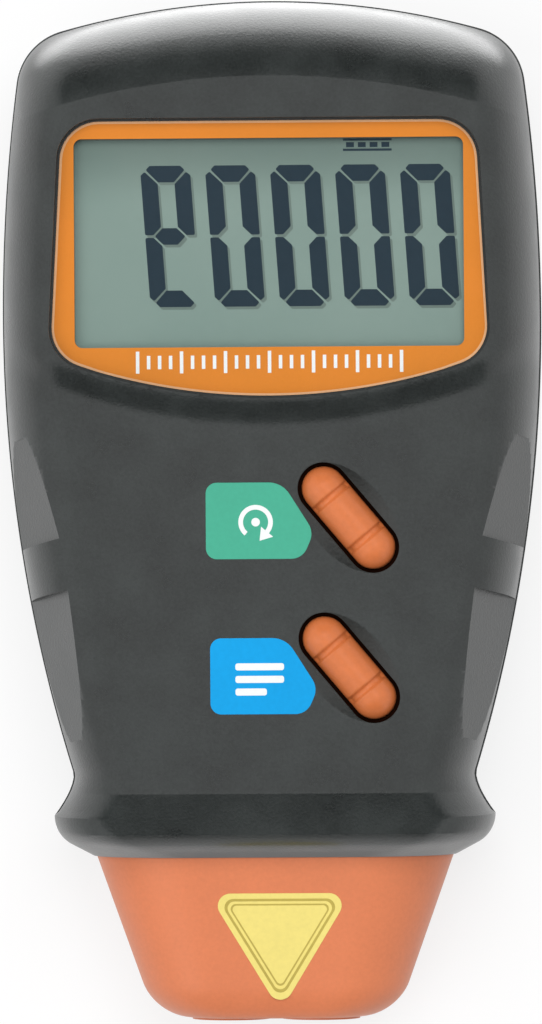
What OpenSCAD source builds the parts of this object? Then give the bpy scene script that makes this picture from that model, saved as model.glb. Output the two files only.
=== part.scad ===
// Hand-held laser tachometer lying on its back: display end at +Y, optical nose at -Y, front face up.

/* [Overall] */
// Length from the nose tip to the display end
overall_len = 131; // [128:0.5:140]
// Widest width of the housing
overall_w = 69.4; // [67:0.2:76]
// Depth from the back face to the crest of the collar
overall_h = 29; // [28.6:0.1:32]

/* [Housing] */
// Wall of the two half shells
wall = 2; // [1.8:0.1:2.2]
// Height of the plane where the half shells meet
seam_z = 13; // [12.4:0.1:14]
// How far the front shell's edge stands back from the rear shell's edge
seam_step = 0.3; // [0.1:0.05:0.5]
// Distance from the display end to the widest place
widest_from_end = 40.8; // [36:0.2:44]
// Radius of the side bow towards the display end
bow_rear_r = 235; // [200:5:300]
// Radius of the side bow towards the nose
bow_front_r = 200; // [190:5:240]
// Radius of the bow across the display end
end_bow_r = 100; // [90:5:130]
// Corner radius of the outline at the display end
corner_r = 8; // [5.5:0.5:9]
// Length of the round-over at the display end
end_round = 12.5; // [9:0.1:13]
// How far the round-over would rise above the display platform, which cuts it off in a crease
end_crown = 0.27; // [0.05:0.01:0.4]
// Width of the round-over along the front's sides
side_round = 7.5; // [6.5:0.5:8]
// Width of the round-over along the back
back_round = 5; // [4:0.5:6]
// Rise of the display platform above the keypad face
platform_rise = 1.4; // [1.2:0.1:1.6]
// Length of the slope up to the display platform
platform_slope = 4.2; // [3.5:0.1:5]

/* [Grips] */
// Distance from the display end to the bridge between the two finger scoops
bridge_from_end = 69.8; // [69:0.2:71]
// Length of the bridge
bridge_len = 6.6; // [5.5:0.2:7.5]
// Length of the scoop on the display side
upper_scoop_len = 13.5; // [11:0.5:15]
// Length of the scoop on the nose side
lower_scoop_len = 18.5; // [15:0.5:19.5]
// How far the scoops' end walls lean from square across, from bottom to top
scoop_slant = 1.6; // [0:0.1:2]

/* [Collar] */
// Width at the collar's crest
collar_w = 56.8; // [55.8:0.2:58]
// Distance from the nose tip to the collar's crest
collar_from_tip = 26.3; // [25.8:0.1:27]
// Rise of the crest above the keypad face
collar_rise = 2; // [1.6:0.1:2.2]
// Length of the flare that runs up to the crest
flare_len = 5.4; // [4.6:0.2:6]
// Length of the ramp on the front, from the keypad face to the crest's ridge
ramp_len = 5.2; // [4.6:0.1:6]
// Radius of the lip below the crest
lip_r = 4.2; // [3.8:0.1:4.6]
// Distance from the crest to the nose joint
lip_len = 5.2; // [5:0.1:5.4]
// Width of the nose joint
mouth_w = 46; // [44.6:0.2:46.8]
// Depth of the nose joint, front to back
mouth_h = 20.6; // [20:0.2:21.2]
// Width of the round-over along the joint and the nose
mouth_round = 12; // [10:0.5:13]

/* [Nose] */
// Wall of the nose cap
nose_wall = 2; // [1.6:0.1:2.2]
// Width the nose's sides run to at the tip
tip_w = 31.2; // [29.4:0.2:32]
// Depth of the nose at the tip, front to back
tip_h = 18; // [17:0.2:19]
// Corner radius of the tip seen from the front
tip_r = 4.4; // [4:0.1:4.8]
// Edge rounding of the tip seen from the side
tip_edge = 2.5; // [2:0.1:2.8]
// Spacing of the two optical axes
optics_pitch = 11.4; // [11:0.1:11.8]
// Diameter of the raised rings round the optics
ring_d = 10.2; // [9.8:0.1:10.4]
// How far the rings stand out of the tip
ring_proud = 0.3; // [0.2:0.05:0.5]
// Diameter of the optical windows
optic_d = 8.6; // [8.2:0.1:8.8]
// Thickness of the optical windows at their edge
optic_t = 1.4; // [1.2:0.1:1.6]
// Diameter of the light path behind the windows
light_d = 7.2; // [6.6:0.1:7.4]
// Diameter of the laser module
laser_d = 6; // [5.4:0.1:6.4]
// Length of the laser module
laser_len = 13; // [11:0.5:14]

/* [Display] */
// Distance from the display end to the bezel's top edge
bezel_from_end = 16; // [15:0.1:17]
// Bezel width at the top
bezel_top_w = 52.6; // [52:0.1:54]
// Bezel width at the lower corners
bezel_low_w = 55.8; // [54:0.1:56.6]
// Bezel height at the lower corners
bezel_h = 29.8; // [29.2:0.1:32]
// How far the bezel's bottom edge bows down
bezel_bow = 5.2; // [3:0.1:5.6]
// Corner radius of the bezel
bezel_r = 5; // [2:0.1:5.4]
// Thickness of the clear cover plate
lens_t = 1.5; // [1.2:0.1:1.6]
// Thickness of the coloured border film
film_t = 0.2; // [0.1:0.05:0.3]
// How far the cover plate lies below the platform
lens_sink = 0.3; // [0.1:0.05:0.4]
// Width of the display opening
window_w = 49.6; // [49:0.1:50.5]
// Height of the display opening
window_h = 26.6; // [25:0.1:27.4]
// Corner radius of the display opening
window_r = 1; // [0.5:0.1:2]
// Distance from the bezel's top edge to the opening
window_drop = 2.2; // [1.6:0.1:2.4]
// Thickness of the ledge below the cover plate
ledge_t = 1; // [0.8:0.1:1.2]
// Width of the display glass
lcd_w = 51.7; // [51:0.1:52.6]
// Height of the display glass
lcd_h = 30.6; // [30:0.1:31.4]
// Thickness of the display glass
lcd_t = 2; // [1.6:0.1:2.2]
// Height of the contact strips below the glass
strip_h = 1; // [0.8:0.1:1.2]
// Width of each contact strip
strip_w = 1.6; // [1.2:0.1:1.8]

/* [Buttons] */
// Length of a button
button_len = 15.4; // [14.5:0.1:16.5]
// Width of a button
button_w = 5.6; // [5:0.1:5.8]
// Turn of the buttons away from the long axis
button_turn = 40; // [35:1:45]
// How far the buttons stand above the keypad face
button_proud = 1.6; // [1.2:0.1:1.8]
// Travel of a button
button_travel = 0.8; // [0.5:0.05:0.85]
// Sideways place of the buttons
button_x = 9.9; // [9:0.1:10.5]
// Distance from the collar's crest to the button nearer the nose
button_from_collar = 19; // [18.8:0.1:19.8]
// Spacing of the two buttons
button_pitch = 19.1; // [18.6:0.1:19.8]
// Depth of the finger dish round a button
dish_depth = 1.2; // [0.8:0.1:1.3]
// Width of the finger dish
dish_w = 10; // [9:0.1:11]
// Length of the finger dish
dish_len = 16.6; // [16.4:0.1:19]
// Depth of the two grooves across a button
groove_depth = 0.3; // [0.15:0.05:0.5]
// Distance of each groove from the middle of its button
groove_from_mid = 3.4; // [2.5:0.1:4]

/* [Board] */
// Thickness of the circuit boards
board_t = 1.6; // [1.2:0.1:1.6]
// Length of the main board
board_len = 83.3; // [82:0.1:84.5]
// Distance between the board's edge and the housing outline
board_margin = 6.5; // [6.2:0.1:8]
// Body height of the key switches
switch_h = 1.3; // [1.1:0.1:1.4]
// Diameter of the key switch plungers
plunger_d = 1.6; // [1.4:0.1:2]
// Shank diameter of the board screws
board_screw_d = 1.9; // [1.7:0.1:2]
// Shank diameter of the case screws
case_screw_d = 2.2; // [2:0.1:2.4]

/* [Battery] */
// Length of the block battery without its studs
battery_len = 45.5; // [44:0.1:46]
// Width of the block battery
battery_w = 26.2; // [25:0.1:26.6]
// Thickness of the block battery
battery_t = 16.6; // [16:0.1:16.8]
// Height of the battery studs
stud_h = 2.8; // [2.4:0.1:3]
// Width of the sliding cover inside the case
cover_w = 34; // [32:0.2:34.4]
// Height of the cover's end wall
cover_end_h = 11.6; // [10.6:0.1:11.8]

/* [Fits] */
// Clearance between parts that are fixed together
fit = 0.1; // [0.05:0.01:0.15]
// Clearance round the buttons
button_gap = 0.3; // [0.25:0.05:0.4]
// Clearance round the sliding cover
slide_gap = 0.3; // [0.25:0.05:0.35]

/* [Hidden] */
$fn = 64;
// Places along the length
end_y = overall_len / 2;
tip_y = -overall_len / 2;
half_w = overall_w / 2;
widest_y = end_y - widest_from_end;
crest_y = tip_y + collar_from_tip;
joint_y = crest_y - lip_len;
flare_y = crest_y + flare_len;
bezel_top_y = end_y - bezel_from_end;
bezel_low_y = bezel_top_y - bezel_h;
window_top_y = bezel_top_y - window_drop;
window_mid_y = window_top_y - window_h / 2;
memory_y = crest_y + button_from_collar;
test_y = memory_y + button_pitch;
bridge_y = end_y - bridge_from_end;
// Heights
face_z = overall_h - collar_rise;
platform_z = face_z + platform_rise;
lens_z = platform_z - lens_sink - lens_t;
film_z = lens_z - film_t;
ledge_z = film_z - ledge_t;
lcd_z = ledge_z - fit - lcd_t;
board_top = lcd_z - strip_h;
board_z = board_top - board_t;
battery_z = wall + slide_gap;
battery_top = battery_z + battery_t;
roof_z = battery_top + fit;
roof_t = 0.9;
mouth_top = seam_z + mouth_h / 2;
mouth_low = seam_z - mouth_h / 2;
// Bow of the bezel's bottom edge as a circle
bow_r = (pow(bezel_low_w / 2, 2) + pow(bezel_bow, 2)) / (2 * bezel_bow);
// Grid of the lofted skins
side_steps = 6;
flat_steps = 10;
lip_turn = 60;
lip_steps = 4;
flare_steps = 4;
flare_power = 1.4;
// Land of the lip round the nose joint
lip_edge = 0.4;
// The crest's ridge on the front lies part of the way round the lip
ridge_turn = lip_turn / 2;
ridge_y = crest_y - lip_r * sin(ridge_turn);
ramp_y = ridge_y + ramp_len;
corner_steps = 6;
// Rows between these places bend more and more, to follow the bow of the display end
bend_lead = 20;
bend_tail = 5;
bend_from = widest_y - bend_lead;
bend_to = end_y - end_round - bend_tail;

function clamp01(v) = min(max(v, 0), 1);
function smooth(t) = let (c = clamp01(t)) c * c * (3 - 2 * c);
function mix(a, b, t) = a + (b - a) * t;
function sag(r, d) = r - sqrt(r * r - d * d);

// Outline of the housing, inset by i
function bow_half(y, i) = y > widest_y
    ? half_w - bow_rear_r + sqrt(pow(bow_rear_r - i, 2) - pow(y - widest_y, 2))
    : half_w - bow_front_r + sqrt(pow(bow_front_r - i, 2) - pow(y - widest_y, 2));
function flare_share(y) = pow(clamp01((flare_y - y) / flare_len), flare_power);
function outline_half(y, i) = bow_half(y, i)
    + flare_share(y) * (collar_w / 2 - bow_half(crest_y, 0));

// Centre of the outline's corner, where the offset side bow and the offset end bow cross
end_c = [0, end_y - end_bow_r];
side_c = [half_w - bow_rear_r, widest_y];
cross_d = norm(side_c - end_c);
cross_u = (side_c - end_c) / cross_d;
cross_a = (pow(end_bow_r - corner_r, 2) - pow(bow_rear_r - corner_r, 2) + cross_d * cross_d) / (2 * cross_d);
cross_h = sqrt(pow(end_bow_r - corner_r, 2) - cross_a * cross_a);
corner_c = end_c + cross_u * cross_a + [cross_u[1], -cross_u[0]] * cross_h;
corner_from = atan2(corner_c[1] - side_c[1], corner_c[0] - side_c[0]);
corner_to = atan2(corner_c[1] - end_c[1], corner_c[0] - end_c[0]);
side_end_y = corner_c[1] + corner_r * sin(corner_from);

// Share of the way in to the nose joint, after a turn of a round the lip
function lip_share(a) = lip_r * (1 - cos(a)) / (collar_w / 2 - mouth_w / 2 - lip_edge);

// Each row of a skin is [half-width, y at the side, share of the way in to the nose joint]
function lip_rows() = concat(
    [[mouth_w / 2 + lip_edge, joint_y, 1]],
    [for (k = [lip_steps:-1:0]) let (a = lip_turn * k / lip_steps)
        [collar_w / 2 - lip_r * (1 - cos(a)), crest_y - lip_r * sin(a), lip_share(a)]]);
function side_rows(ys, i) = [for (y = ys) [outline_half(y, i), y, 0]];
function corner_rows(i) = [for (k = [0:corner_steps]) let (a = mix(corner_from, corner_to, k / corner_steps))
    [corner_c[0] + (corner_r - i) * cos(a), corner_c[1] + (corner_r - i) * sin(a), 0]];
flare_ys = [for (k = [1:flare_steps]) crest_y + flare_len * k / flare_steps];
ramp_ys = [mix(crest_y, ramp_y, 1 / 2), ramp_y, mix(ramp_y, flare_y, 1 / 2), flare_y];
keypad_ys = [for (k = [1:4]) mix(flare_y, bezel_low_y - bezel_bow - platform_slope, k / 5)];
slope_ys = [for (k = [0:8]) bezel_low_y - bezel_bow + mix(-platform_slope, bezel_bow, k / 8)];
display_ys = [for (k = [1:4]) mix(bezel_low_y, bezel_top_y, k / 4)];
shoulder_ys = [for (k = [1:5]) mix(bezel_top_y, side_end_y, k / 6)];
back_ys = concat(
    [for (k = [1:7]) mix(flare_y, widest_y, k / 7)],
    [for (k = [1:3]) mix(widest_y, side_end_y, k / 5)],
    [for (k = [0:4]) mix(side_end_y - back_round, side_end_y, k / 5)]);

// Rise of the platform, below the bezel's bowed edge
function platform_at(x, y) = platform_rise
    * smooth((y - bezel_low_y + bezel_bow - sag(bow_r, min(abs(x), bow_r / 2))) / platform_slope + 1);
function bend_at(y) = smooth((y - bend_from) / (bend_to - bend_from));

// Points across a row: [x, share of the height], from the left edge to the right edge
function across(w, r) = concat(
    [for (k = [0:side_steps]) let (a = 90 * k / side_steps) [-w + r * (1 - cos(a)), sin(a)]],
    [for (k = [1:flat_steps - 1]) [mix(-w + r, w - r, k / flat_steps), 1]],
    [for (k = [side_steps:-1:0]) let (a = 90 * k / side_steps) [w - r * (1 - cos(a)), sin(a)]]);

function end_share(y0, i, len) = sqrt(1 - pow(clamp01((y0 - end_y + i + len) / len), 2));
dome = 1 + end_crown / (platform_z - seam_z);

// Height of the front before the platform's rise, at a row that goes the share s round the lip
function front_top(y, s) = let (fall = max(s - lip_share(ridge_turn), 0) / (1 - lip_share(ridge_turn)))
    mix(face_z + collar_rise * clamp01((ramp_y - y) / ramp_len), mouth_top + lip_edge, fall);

// One row of the front skin, inset by i, standing on the plane at base
function front_row(row, i, base) = let (
    bend = bend_at(row[1]),
    y0 = row[1] + bend * sag(end_bow_r - i, row[0]),
    share = min(dome * end_share(y0, i, end_round), 1),
    top = front_top(row[1], row[2]) - (i - seam_step) * (1 - row[2]),
    r = mix(side_round, mouth_round, row[2]))
    [for (p = across(row[0], r)) let (y = y0 - bend * sag(end_bow_r - i, p[0]))
        [-p[0], y, base + (top + platform_at(p[0], y) - base) * p[1] * share]];

// One row of the rear skin, inset by i, hanging from the plane at base
function rear_row(row, i, base) = let (
    bend = bend_at(row[1]),
    y0 = row[1] + bend * sag(end_bow_r - i, row[0]),
    share = end_share(y0, i, back_round),
    low = mix(0, mouth_low - lip_edge, row[2]) + i * (1 - row[2]),
    r = mix(back_round, mouth_round, row[2]))
    [for (p = across(row[0], r))
        [p[0], y0 - bend * sag(end_bow_r - i, p[0]), base + (low - base) * p[1] * share]];

// A closed ring of the nose cap
function nose_ring(w, top, low, y, r) = concat(
    [for (p = across(w, r)) [-p[0], y, seam_z + (top - seam_z) * p[1]]],
    let (u = across(w, r), n = len(u))
        [for (k = [n - 2:-1:1]) [-u[k][0], y, seam_z + (low - seam_z) * u[k][1]]]);

// Solid through rings or rows of equal length
module loft(rows) {
    n = len(rows[0]);
    m = len(rows);
    sides = [for (i = [0:m - 2]) for (j = [0:n - 1]) let (a = i * n + j, b = i * n + (j + 1) % n)
        each [[a, b, b + n], [a, b + n, a + n]]];
    first = [for (j = [n - 1:-1:0]) j];
    last = [for (j = [0:n - 1]) (m - 1) * n + j];
    polyhedron([for (r = rows) each r], concat(sides, [first, last]), convexity = 6);
}

// Rows of the inner skins start at the inside of the joint wall
cavity_reach = 2.4;
cavity_draw = 1.4;
cavity_over = 0.5;
cavity_y = crest_y - cavity_reach;
function cavity_rows(ys, i) = concat(
    [[collar_w / 2 - i - cavity_draw, cavity_y, 0], [collar_w / 2 - i, crest_y, 0]],
    side_rows(ys, i),
    corner_rows(i));

front_ys = concat(ramp_ys, keypad_ys, slope_ys, display_ys, shoulder_ys);
rear_ys = concat(flare_ys, back_ys);

module front_outer() {
    s = seam_step;
    rows = concat(lip_rows(), side_rows(front_ys, s), corner_rows(s));
    loft([for (r = rows) front_row(r, s, seam_z)]);
}

module front_cavity() {
    i = wall + seam_step;
    loft([for (r = cavity_rows(front_ys, i)) front_row(r, i, seam_z - cavity_over)]);
}

module rear_outer() {
    rows = concat(lip_rows(), side_rows(rear_ys, 0), corner_rows(0));
    loft([for (r = rows) rear_row(r, 0, seam_z)]);
}

module rear_cavity() {
    loft([for (r = cavity_rows(rear_ys, wall)) rear_row(r, wall, seam_z + cavity_over)]);
}

// Outline of the joint and of rings that follow it, grown by g
function joint_ring(g) = let (
    ring = nose_ring(mouth_w / 2 + g, mouth_top + g, mouth_low - g, 0, mouth_round + g))
    [for (p = ring) [p[0], p[2]]];

// A prism along Y through a section drawn in x and z
module along_y(from, to, pts) {
    translate([0, to, 0])
    rotate([90, 0, 0])
    linear_extrude(to - from)
    polygon(pts);
}

// A cylinder along Y
module rod_y(x, z, from, to, d) {
    translate([x, to, z])
    rotate([90, 0, 0])
    cylinder(d = d, h = to - from);
}

// A box given by its centre line in x
module box(x, w, y0, y1, z0, z1) {
    translate([x - w / 2, y0, z0])
    cube([w, y1 - y0, z1 - z0]);
}

// Rounded polygon: each corner is replaced by an arc of radius r
corner_fn = 8;
function unit(v) = v / norm(v);
function round_corner(a, b, c, r) = let (
    u = unit(a - b),
    v = unit(c - b),
    half = acos(u * v) / 2,
    mid = b + unit(u + v) * r / sin(half),
    f = b + u * r / tan(half) - mid,
    t = b + v * r / tan(half) - mid,
    a0 = atan2(f[1], f[0]),
    turn = atan2(f[0] * t[1] - f[1] * t[0], f * t))
    [for (k = [0:corner_fn]) mid + r * [cos(a0 + turn * k / corner_fn), sin(a0 + turn * k / corner_fn)]];

// Bezel outline, grown by g
bow_fn = 16;
function bezel_points(g) = let (
    t = bezel_top_w / 2 + g,
    l = bezel_low_w / 2 + g,
    top = bezel_top_y + g,
    low = bezel_low_y - g,
    edge = [for (k = [1:bow_fn - 1]) let (x = mix(-l, l, k / bow_fn))
        [x, low - bezel_bow + sag(bow_r + g, x)]],
    r = bezel_r + g)
    concat(
        round_corner(edge[0], [-l, low], [-t, top], r),
        round_corner([-l, low], [-t, top], [t, top], r),
        round_corner([-t, top], [t, top], [l, low], r),
        round_corner([t, top], [l, low], edge[bow_fn - 2], r),
        [for (k = [bow_fn - 3:-1:1]) edge[k]]);

// Display opening
function window_points() = let (
    x = window_w / 2,
    low = window_mid_y - window_h / 2,
    p = [[-x, low], [-x, window_top_y], [x, window_top_y], [x, low]])
    [for (k = [0:3]) each round_corner(p[(k + 3) % 4], p[k], p[(k + 1) % 4], window_r)];

// Finger scoops: a plane that leaves the side's round-over and sinks in towards the bridge
scoop_top = 74;
scoop_mid = 42;
scoop_low = 6;
scoop_out = 6;
scoop_reach = 0.8;
function skin_at(y, a) = [
    outline_half(y, seam_step) - side_round * (1 - cos(a)),
    y,
    seam_z + (face_z - seam_z) * sin(a)];
module scoop(wall_y, fade_y) {
    a = skin_at(wall_y + scoop_slant / 2, scoop_top);
    b = skin_at(wall_y - scoop_slant / 2, scoop_low);
    c = skin_at(fade_y, scoop_mid);
    reach = (a - b) * scoop_reach;
    mid = (a + b) / 2;
    n = unit(cross(a - b, c - mid));
    out = (n[0] > 0 ? n : -n) * scoop_out;
    quad = [mid + reach, mid - reach, c - reach, c + reach];
    pts = concat(quad, [for (q = quad) q + out]);
    near = [[0, 1, 2, 3], [7, 6, 5, 4], [0, 4, 5, 1], [1, 5, 6, 2], [2, 6, 7, 3], [3, 7, 4, 0]];
    far = [for (f = near) [f[3], f[2], f[1], f[0]]];
    polyhedron(pts, n[0] > 0 ? far : near);
}

module scoops() {
    scoop(bridge_y, bridge_y + upper_scoop_len);
    scoop(bridge_y - bridge_len, bridge_y - bridge_len - lower_scoop_len);
}

// Places of screws and bosses
case_boss_d = 6;
case_low_up = 3.2;
case_low_in = 7.4;
case_high_down = 10;
case_high_in = 10.8;
// The bosses at the display end stop below its round-over
case_high_drop = 1.8;
board_low_up = 10.7;
board_low_in = 10.1;
board_high_down = 2.8;
board_high_in = 12.3;
function place(y, in) = [outline_half(y, in), y];
case_low = place(crest_y + case_low_up, case_low_in);
case_high = place(end_y - case_high_down, case_high_in);
board_low = place(crest_y + board_low_up, board_low_in);
board_high = place(bezel_low_y - bezel_bow - board_high_down, board_high_in);
board_boss_d = 4.4;
head_z = 8;
head_d = 4.6;
head_h = 1.6;
case_screw_len = 12;
board_head_d = 3.6;
board_head_h = 1.2;
board_screw_len = 4;

module case_boss(at, top) {
    translate([at[0], at[1], seam_z])
    cylinder(d = case_boss_d, h = top - seam_z);
}

module case_places() {
    for (s = [-1, 1]) {
        translate([s * case_low[0], case_low[1], 0]) children();
        translate([s * case_high[0], case_high[1], 0]) children();
    }
}

module board_places() {
    for (s = [-1, 1]) {
        translate([s * board_low[0], board_low[1], 0]) children();
        translate([s * board_high[0], board_high[1], 0]) children();
    }
}

// Button shapes share one frame: long axis along Y before the turn
module at_button(y) {
    translate([button_x, y, 0])
    rotate([0, 0, button_turn])
    children();
}

module stadium(g, z0, z1) {
    r = button_w / 2 + g;
    run = button_len / 2 - button_w / 2;
    translate([0, 0, z0]) {
        box(0, 2 * r, -run, run, 0, z1 - z0);
        for (s = [-1, 1]) translate([0, s * run, 0]) cylinder(r = r, h = z1 - z0);
    }
}

// The dish is a barrel laid along the button
dish_r = (pow(dish_w / 2, 2) + pow(dish_depth, 2)) / (2 * dish_depth);
dish_long_r = (pow(dish_len / 2, 2) + pow(dish_depth, 2)) / (2 * dish_depth);
module dish() {
    translate([0, 0, face_z + dish_r - dish_depth])
    rotate([90, 0, 0])
    rotate_extrude()
    intersection() {
        translate([dish_r - dish_long_r, 0]) circle(r = dish_long_r);
        translate([0, -dish_len]) square([dish_long_r, 2 * dish_len]);
    }
}

// Optical axes
laser_x = -optics_pitch / 2;
receiver_x = optics_pitch / 2;
optics_z = seam_z;
tip_face_y = tip_y + ring_proud;
tip_top = seam_z + tip_h / 2;
tip_low = seam_z - tip_h / 2;
tip_wall = 2.4;
tip_inner_y = tip_face_y + tip_wall;

pilot = 0.1;
ledge_past = 1;

module front_shell() {
    color([0.2, 0.21, 0.21])
    difference() {
        union() {
            difference() {
                front_outer();
                front_cavity();
                scoops();
                mirror([1, 0, 0]) scoops();
            }
            box(0, bezel_top_w, bezel_low_y - bezel_bow - ledge_past, bezel_top_y + ledge_past,
                ledge_z, film_z + ledge_t / 2);
            for (s = [-1, 1]) {
                case_boss([s * case_low[0], case_low[1]], face_z - wall);
                case_boss([s * case_high[0], case_high[1]], face_z - wall - case_high_drop);
            }
            board_places()
            translate([0, 0, board_top])
            cylinder(d = board_boss_d, h = face_z - wall / 2 - board_top);
        }
        along_y(joint_y - wall, cavity_y + wall, joint_ring(fit));
        translate([0, 0, film_z]) linear_extrude(overall_h) polygon(bezel_points(fit));
        translate([0, 0, board_top]) linear_extrude(overall_h) polygon(window_points());
        for (y = [test_y, memory_y]) at_button(y) {
            stadium(button_gap, board_top, overall_h);
            dish();
        }
        case_places()
        translate([0, 0, seam_z - wall])
        cylinder(d = case_screw_d + pilot, h = head_z + case_screw_len - seam_z + wall + pilot);
        board_places()
        translate([0, 0, board_z])
        cylinder(d = board_screw_d + pilot, h = board_screw_len + pilot);
    }
}

// Battery bay and its cover
cover_lift = 0.2;
cover_bevel = 1.5;
bay_land = 0.2;
bay_half = cover_w / 2 + slide_gap + bay_land;
bay_wall = 1.2;
bay_from_end = 6.5;
bay_y1 = end_y - bay_from_end;
battery_from_end = 8;
battery_y1 = end_y - battery_from_end;
battery_y0 = battery_y1 - battery_len;
snap_room = 11.6;
bay_y0 = battery_y0 - snap_room;
cover_land = 1.5;
cover_y0 = bay_y0 + cover_land;
rib_t = 1.2;
tab_w = 10;
tab_root = 3;
tab_out = 1;
rib_low = 4;
rib_high = 6;
head_wall = 1.5;
function cover_section(g) = [
    [-cover_w / 2 + cover_bevel - g, -wall], [cover_w / 2 - cover_bevel + g, -wall],
    [cover_w / 2 - cover_bevel + g, 0], [cover_w / 2 + g, wall],
    [cover_w / 2 + g, cover_end_h + g], [-cover_w / 2 - g, cover_end_h + g],
    [-cover_w / 2 - g, wall], [-cover_w / 2 + cover_bevel - g, 0]];

lead_x = 6.4;
lead_z = battery_z + battery_t / 2;
lead_d = 1.2;
lead_run = 3.4;
lead_y = bay_y0 - bay_wall - lead_run;

module rear_skin() {
    difference() {
        rear_outer();
        rear_cavity();
    }
}

module rear_shell() {
    color([0.15, 0.16, 0.16])
    difference() {
        union() {
            rear_skin();
            for (s = [-1, 1]) {
                box(s * (bay_half + bay_wall / 2), bay_wall, bay_y0 - bay_wall, bay_y1,
                    wall / 2, roof_z + roof_t);
                for (y = [battery_y0 + rib_low, battery_y1 - rib_high])
                box(s * (bay_half + battery_w / 2 + fit) / 2, bay_half - battery_w / 2, y, y + rib_t,
                    cover_end_h + slide_gap, roof_z + roof_t);
            }
            box(0, 2 * bay_half, bay_y0 - bay_wall, bay_y1, roof_z, roof_z + roof_t);
            box(0, 2 * bay_half, bay_y0 - bay_wall, bay_y0, wall / 2, roof_z + roof_t / 2);
            case_places()
            translate([0, 0, wall / 2])
            cylinder(d = head_d + 2 * head_wall, h = seam_z - wall / 2);
        }
        along_y(cover_y0, end_y + wall, cover_section(slide_gap));
        box(0, tab_w + 2 * slide_gap, cover_y0 - tab_out - slide_gap, cover_y0 + wall,
            wall / 2 - slide_gap, wall + slide_gap);
        along_y(joint_y - wall, cavity_y + wall, joint_ring(fit));
        case_places() {
            translate([0, 0, -wall]) cylinder(d = head_d + 2 * button_gap, h = head_z + wall);
            cylinder(d = case_screw_d + pilot, h = seam_z + wall);
        }
        for (s = [-1, 1])
        rod_y(s * lead_x, lead_z, bay_y0 - 2 * bay_wall, bay_y0 + bay_wall, lead_d + 2 * fit);
    }
}

grip_n = 5;
grip_from_end = 16;
grip_pitch = 2.2;
grip_d = 1.4;
grip_w = 18;
module battery_cover() {
    color([0.15, 0.16, 0.16])
    difference() {
        union() {
            intersection() {
                rear_skin();
                along_y(cover_y0 + slide_gap, end_y + wall, cover_section(0));
                box(0, overall_w, joint_y, end_y + wall, cover_lift, seam_z);
            }
            box(0, tab_w, cover_y0 - tab_out, cover_y0 + tab_root, wall / 2, wall);
        }
        for (k = [0:grip_n - 1])
        translate([-grip_w / 2, end_y - grip_from_end - k * grip_pitch, cover_lift])
        rotate([0, 90, 0])
        cylinder(d = grip_d, h = grip_w);
    }
}

// Nose cap
flange_y = cavity_y + fit;
flange_t = 1.2;
flange_out = 1.2;
tip_steps = 6;
function nose_share(y) = clamp01((joint_y - y) / (joint_y - tip_face_y));
function nose_w(y) = mix(mouth_w, tip_w, nose_share(y)) / 2;
function nose_top(y) = mix(mouth_top, tip_top, nose_share(y));
function nose_low(y) = mix(mouth_low, tip_low, nose_share(y));
function nose_at(y, i, j) = let (w = nose_w(y) - i)
    nose_ring(w, nose_top(y) - j, nose_low(y) + j, y, mouth_round * w / (mouth_w / 2));
nose_bend_y = tip_face_y + tip_r;

module nose_outer() {
    loft(concat(
        [for (k = [tip_steps:-1:0]) let (a = 90 * k / tip_steps)
            nose_at(tip_face_y + tip_r * (1 - sin(a)), tip_r * (1 - cos(a)), tip_edge * (1 - cos(a)))],
        [for (k = [1:4]) nose_at(mix(nose_bend_y, joint_y, k / 4), 0, 0)],
        [nose_at(flange_y + flange_t, 0, 0)]));
}

module nose_cavity() {
    r = tip_r - nose_wall;
    e = max(tip_edge - nose_wall, 0);
    loft(concat(
        [for (k = [3:-1:0]) let (a = 90 * k / 3, turn = 1 - cos(a))
            nose_at(tip_inner_y + r * (1 - sin(a)), nose_wall + r * turn, nose_wall + e * turn)],
        [for (k = [1:2]) nose_at(mix(tip_inner_y + r, joint_y, k / 2), nose_wall, nose_wall)],
        [nose_at(flange_y + flange_t + wall, nose_wall, nose_wall)]));
}

optic_sink = 0.4;
seat_y = tip_y + optic_sink + optic_t;
module nose_cap() {
    color([0.85, 0.42, 0.25])
    difference() {
        union() {
            nose_outer();
            intersection() {
                along_y(flange_y, flange_y + flange_t, joint_ring(flange_out));
                box(0, overall_w, flange_y - wall, flange_y + wall, wall + fit, overall_h);
            }
            for (x = [laser_x, receiver_x]) rod_y(x, optics_z, tip_y, tip_inner_y, ring_d);
        }
        nose_cavity();
        for (x = [laser_x, receiver_x]) {
            rod_y(x, optics_z, tip_y - wall, seat_y, optic_d + 2 * fit);
            rod_y(x, optics_z, tip_y, tip_inner_y + wall, light_d);
        }
    }
}

module laser_window() {
    color([0.5, 0.15, 0.15])
    rod_y(laser_x, optics_z, seat_y - optic_t, seat_y, optic_d);
}

lens_sag = 0.35;
module receiver_lens() {
    lens_r = (pow(optic_d / 2, 2) + lens_sag * lens_sag) / (2 * lens_sag);
    color([0.8, 0.85, 0.9])
    translate([receiver_x, seat_y, optics_z])
    rotate([90, 0, 0])
    rotate_extrude()
    intersection() {
        square([optic_d / 2, optic_t + lens_sag]);
        translate([0, optic_t + lens_sag - lens_r]) circle(r = lens_r, $fn = 256);
    }
}

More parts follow.
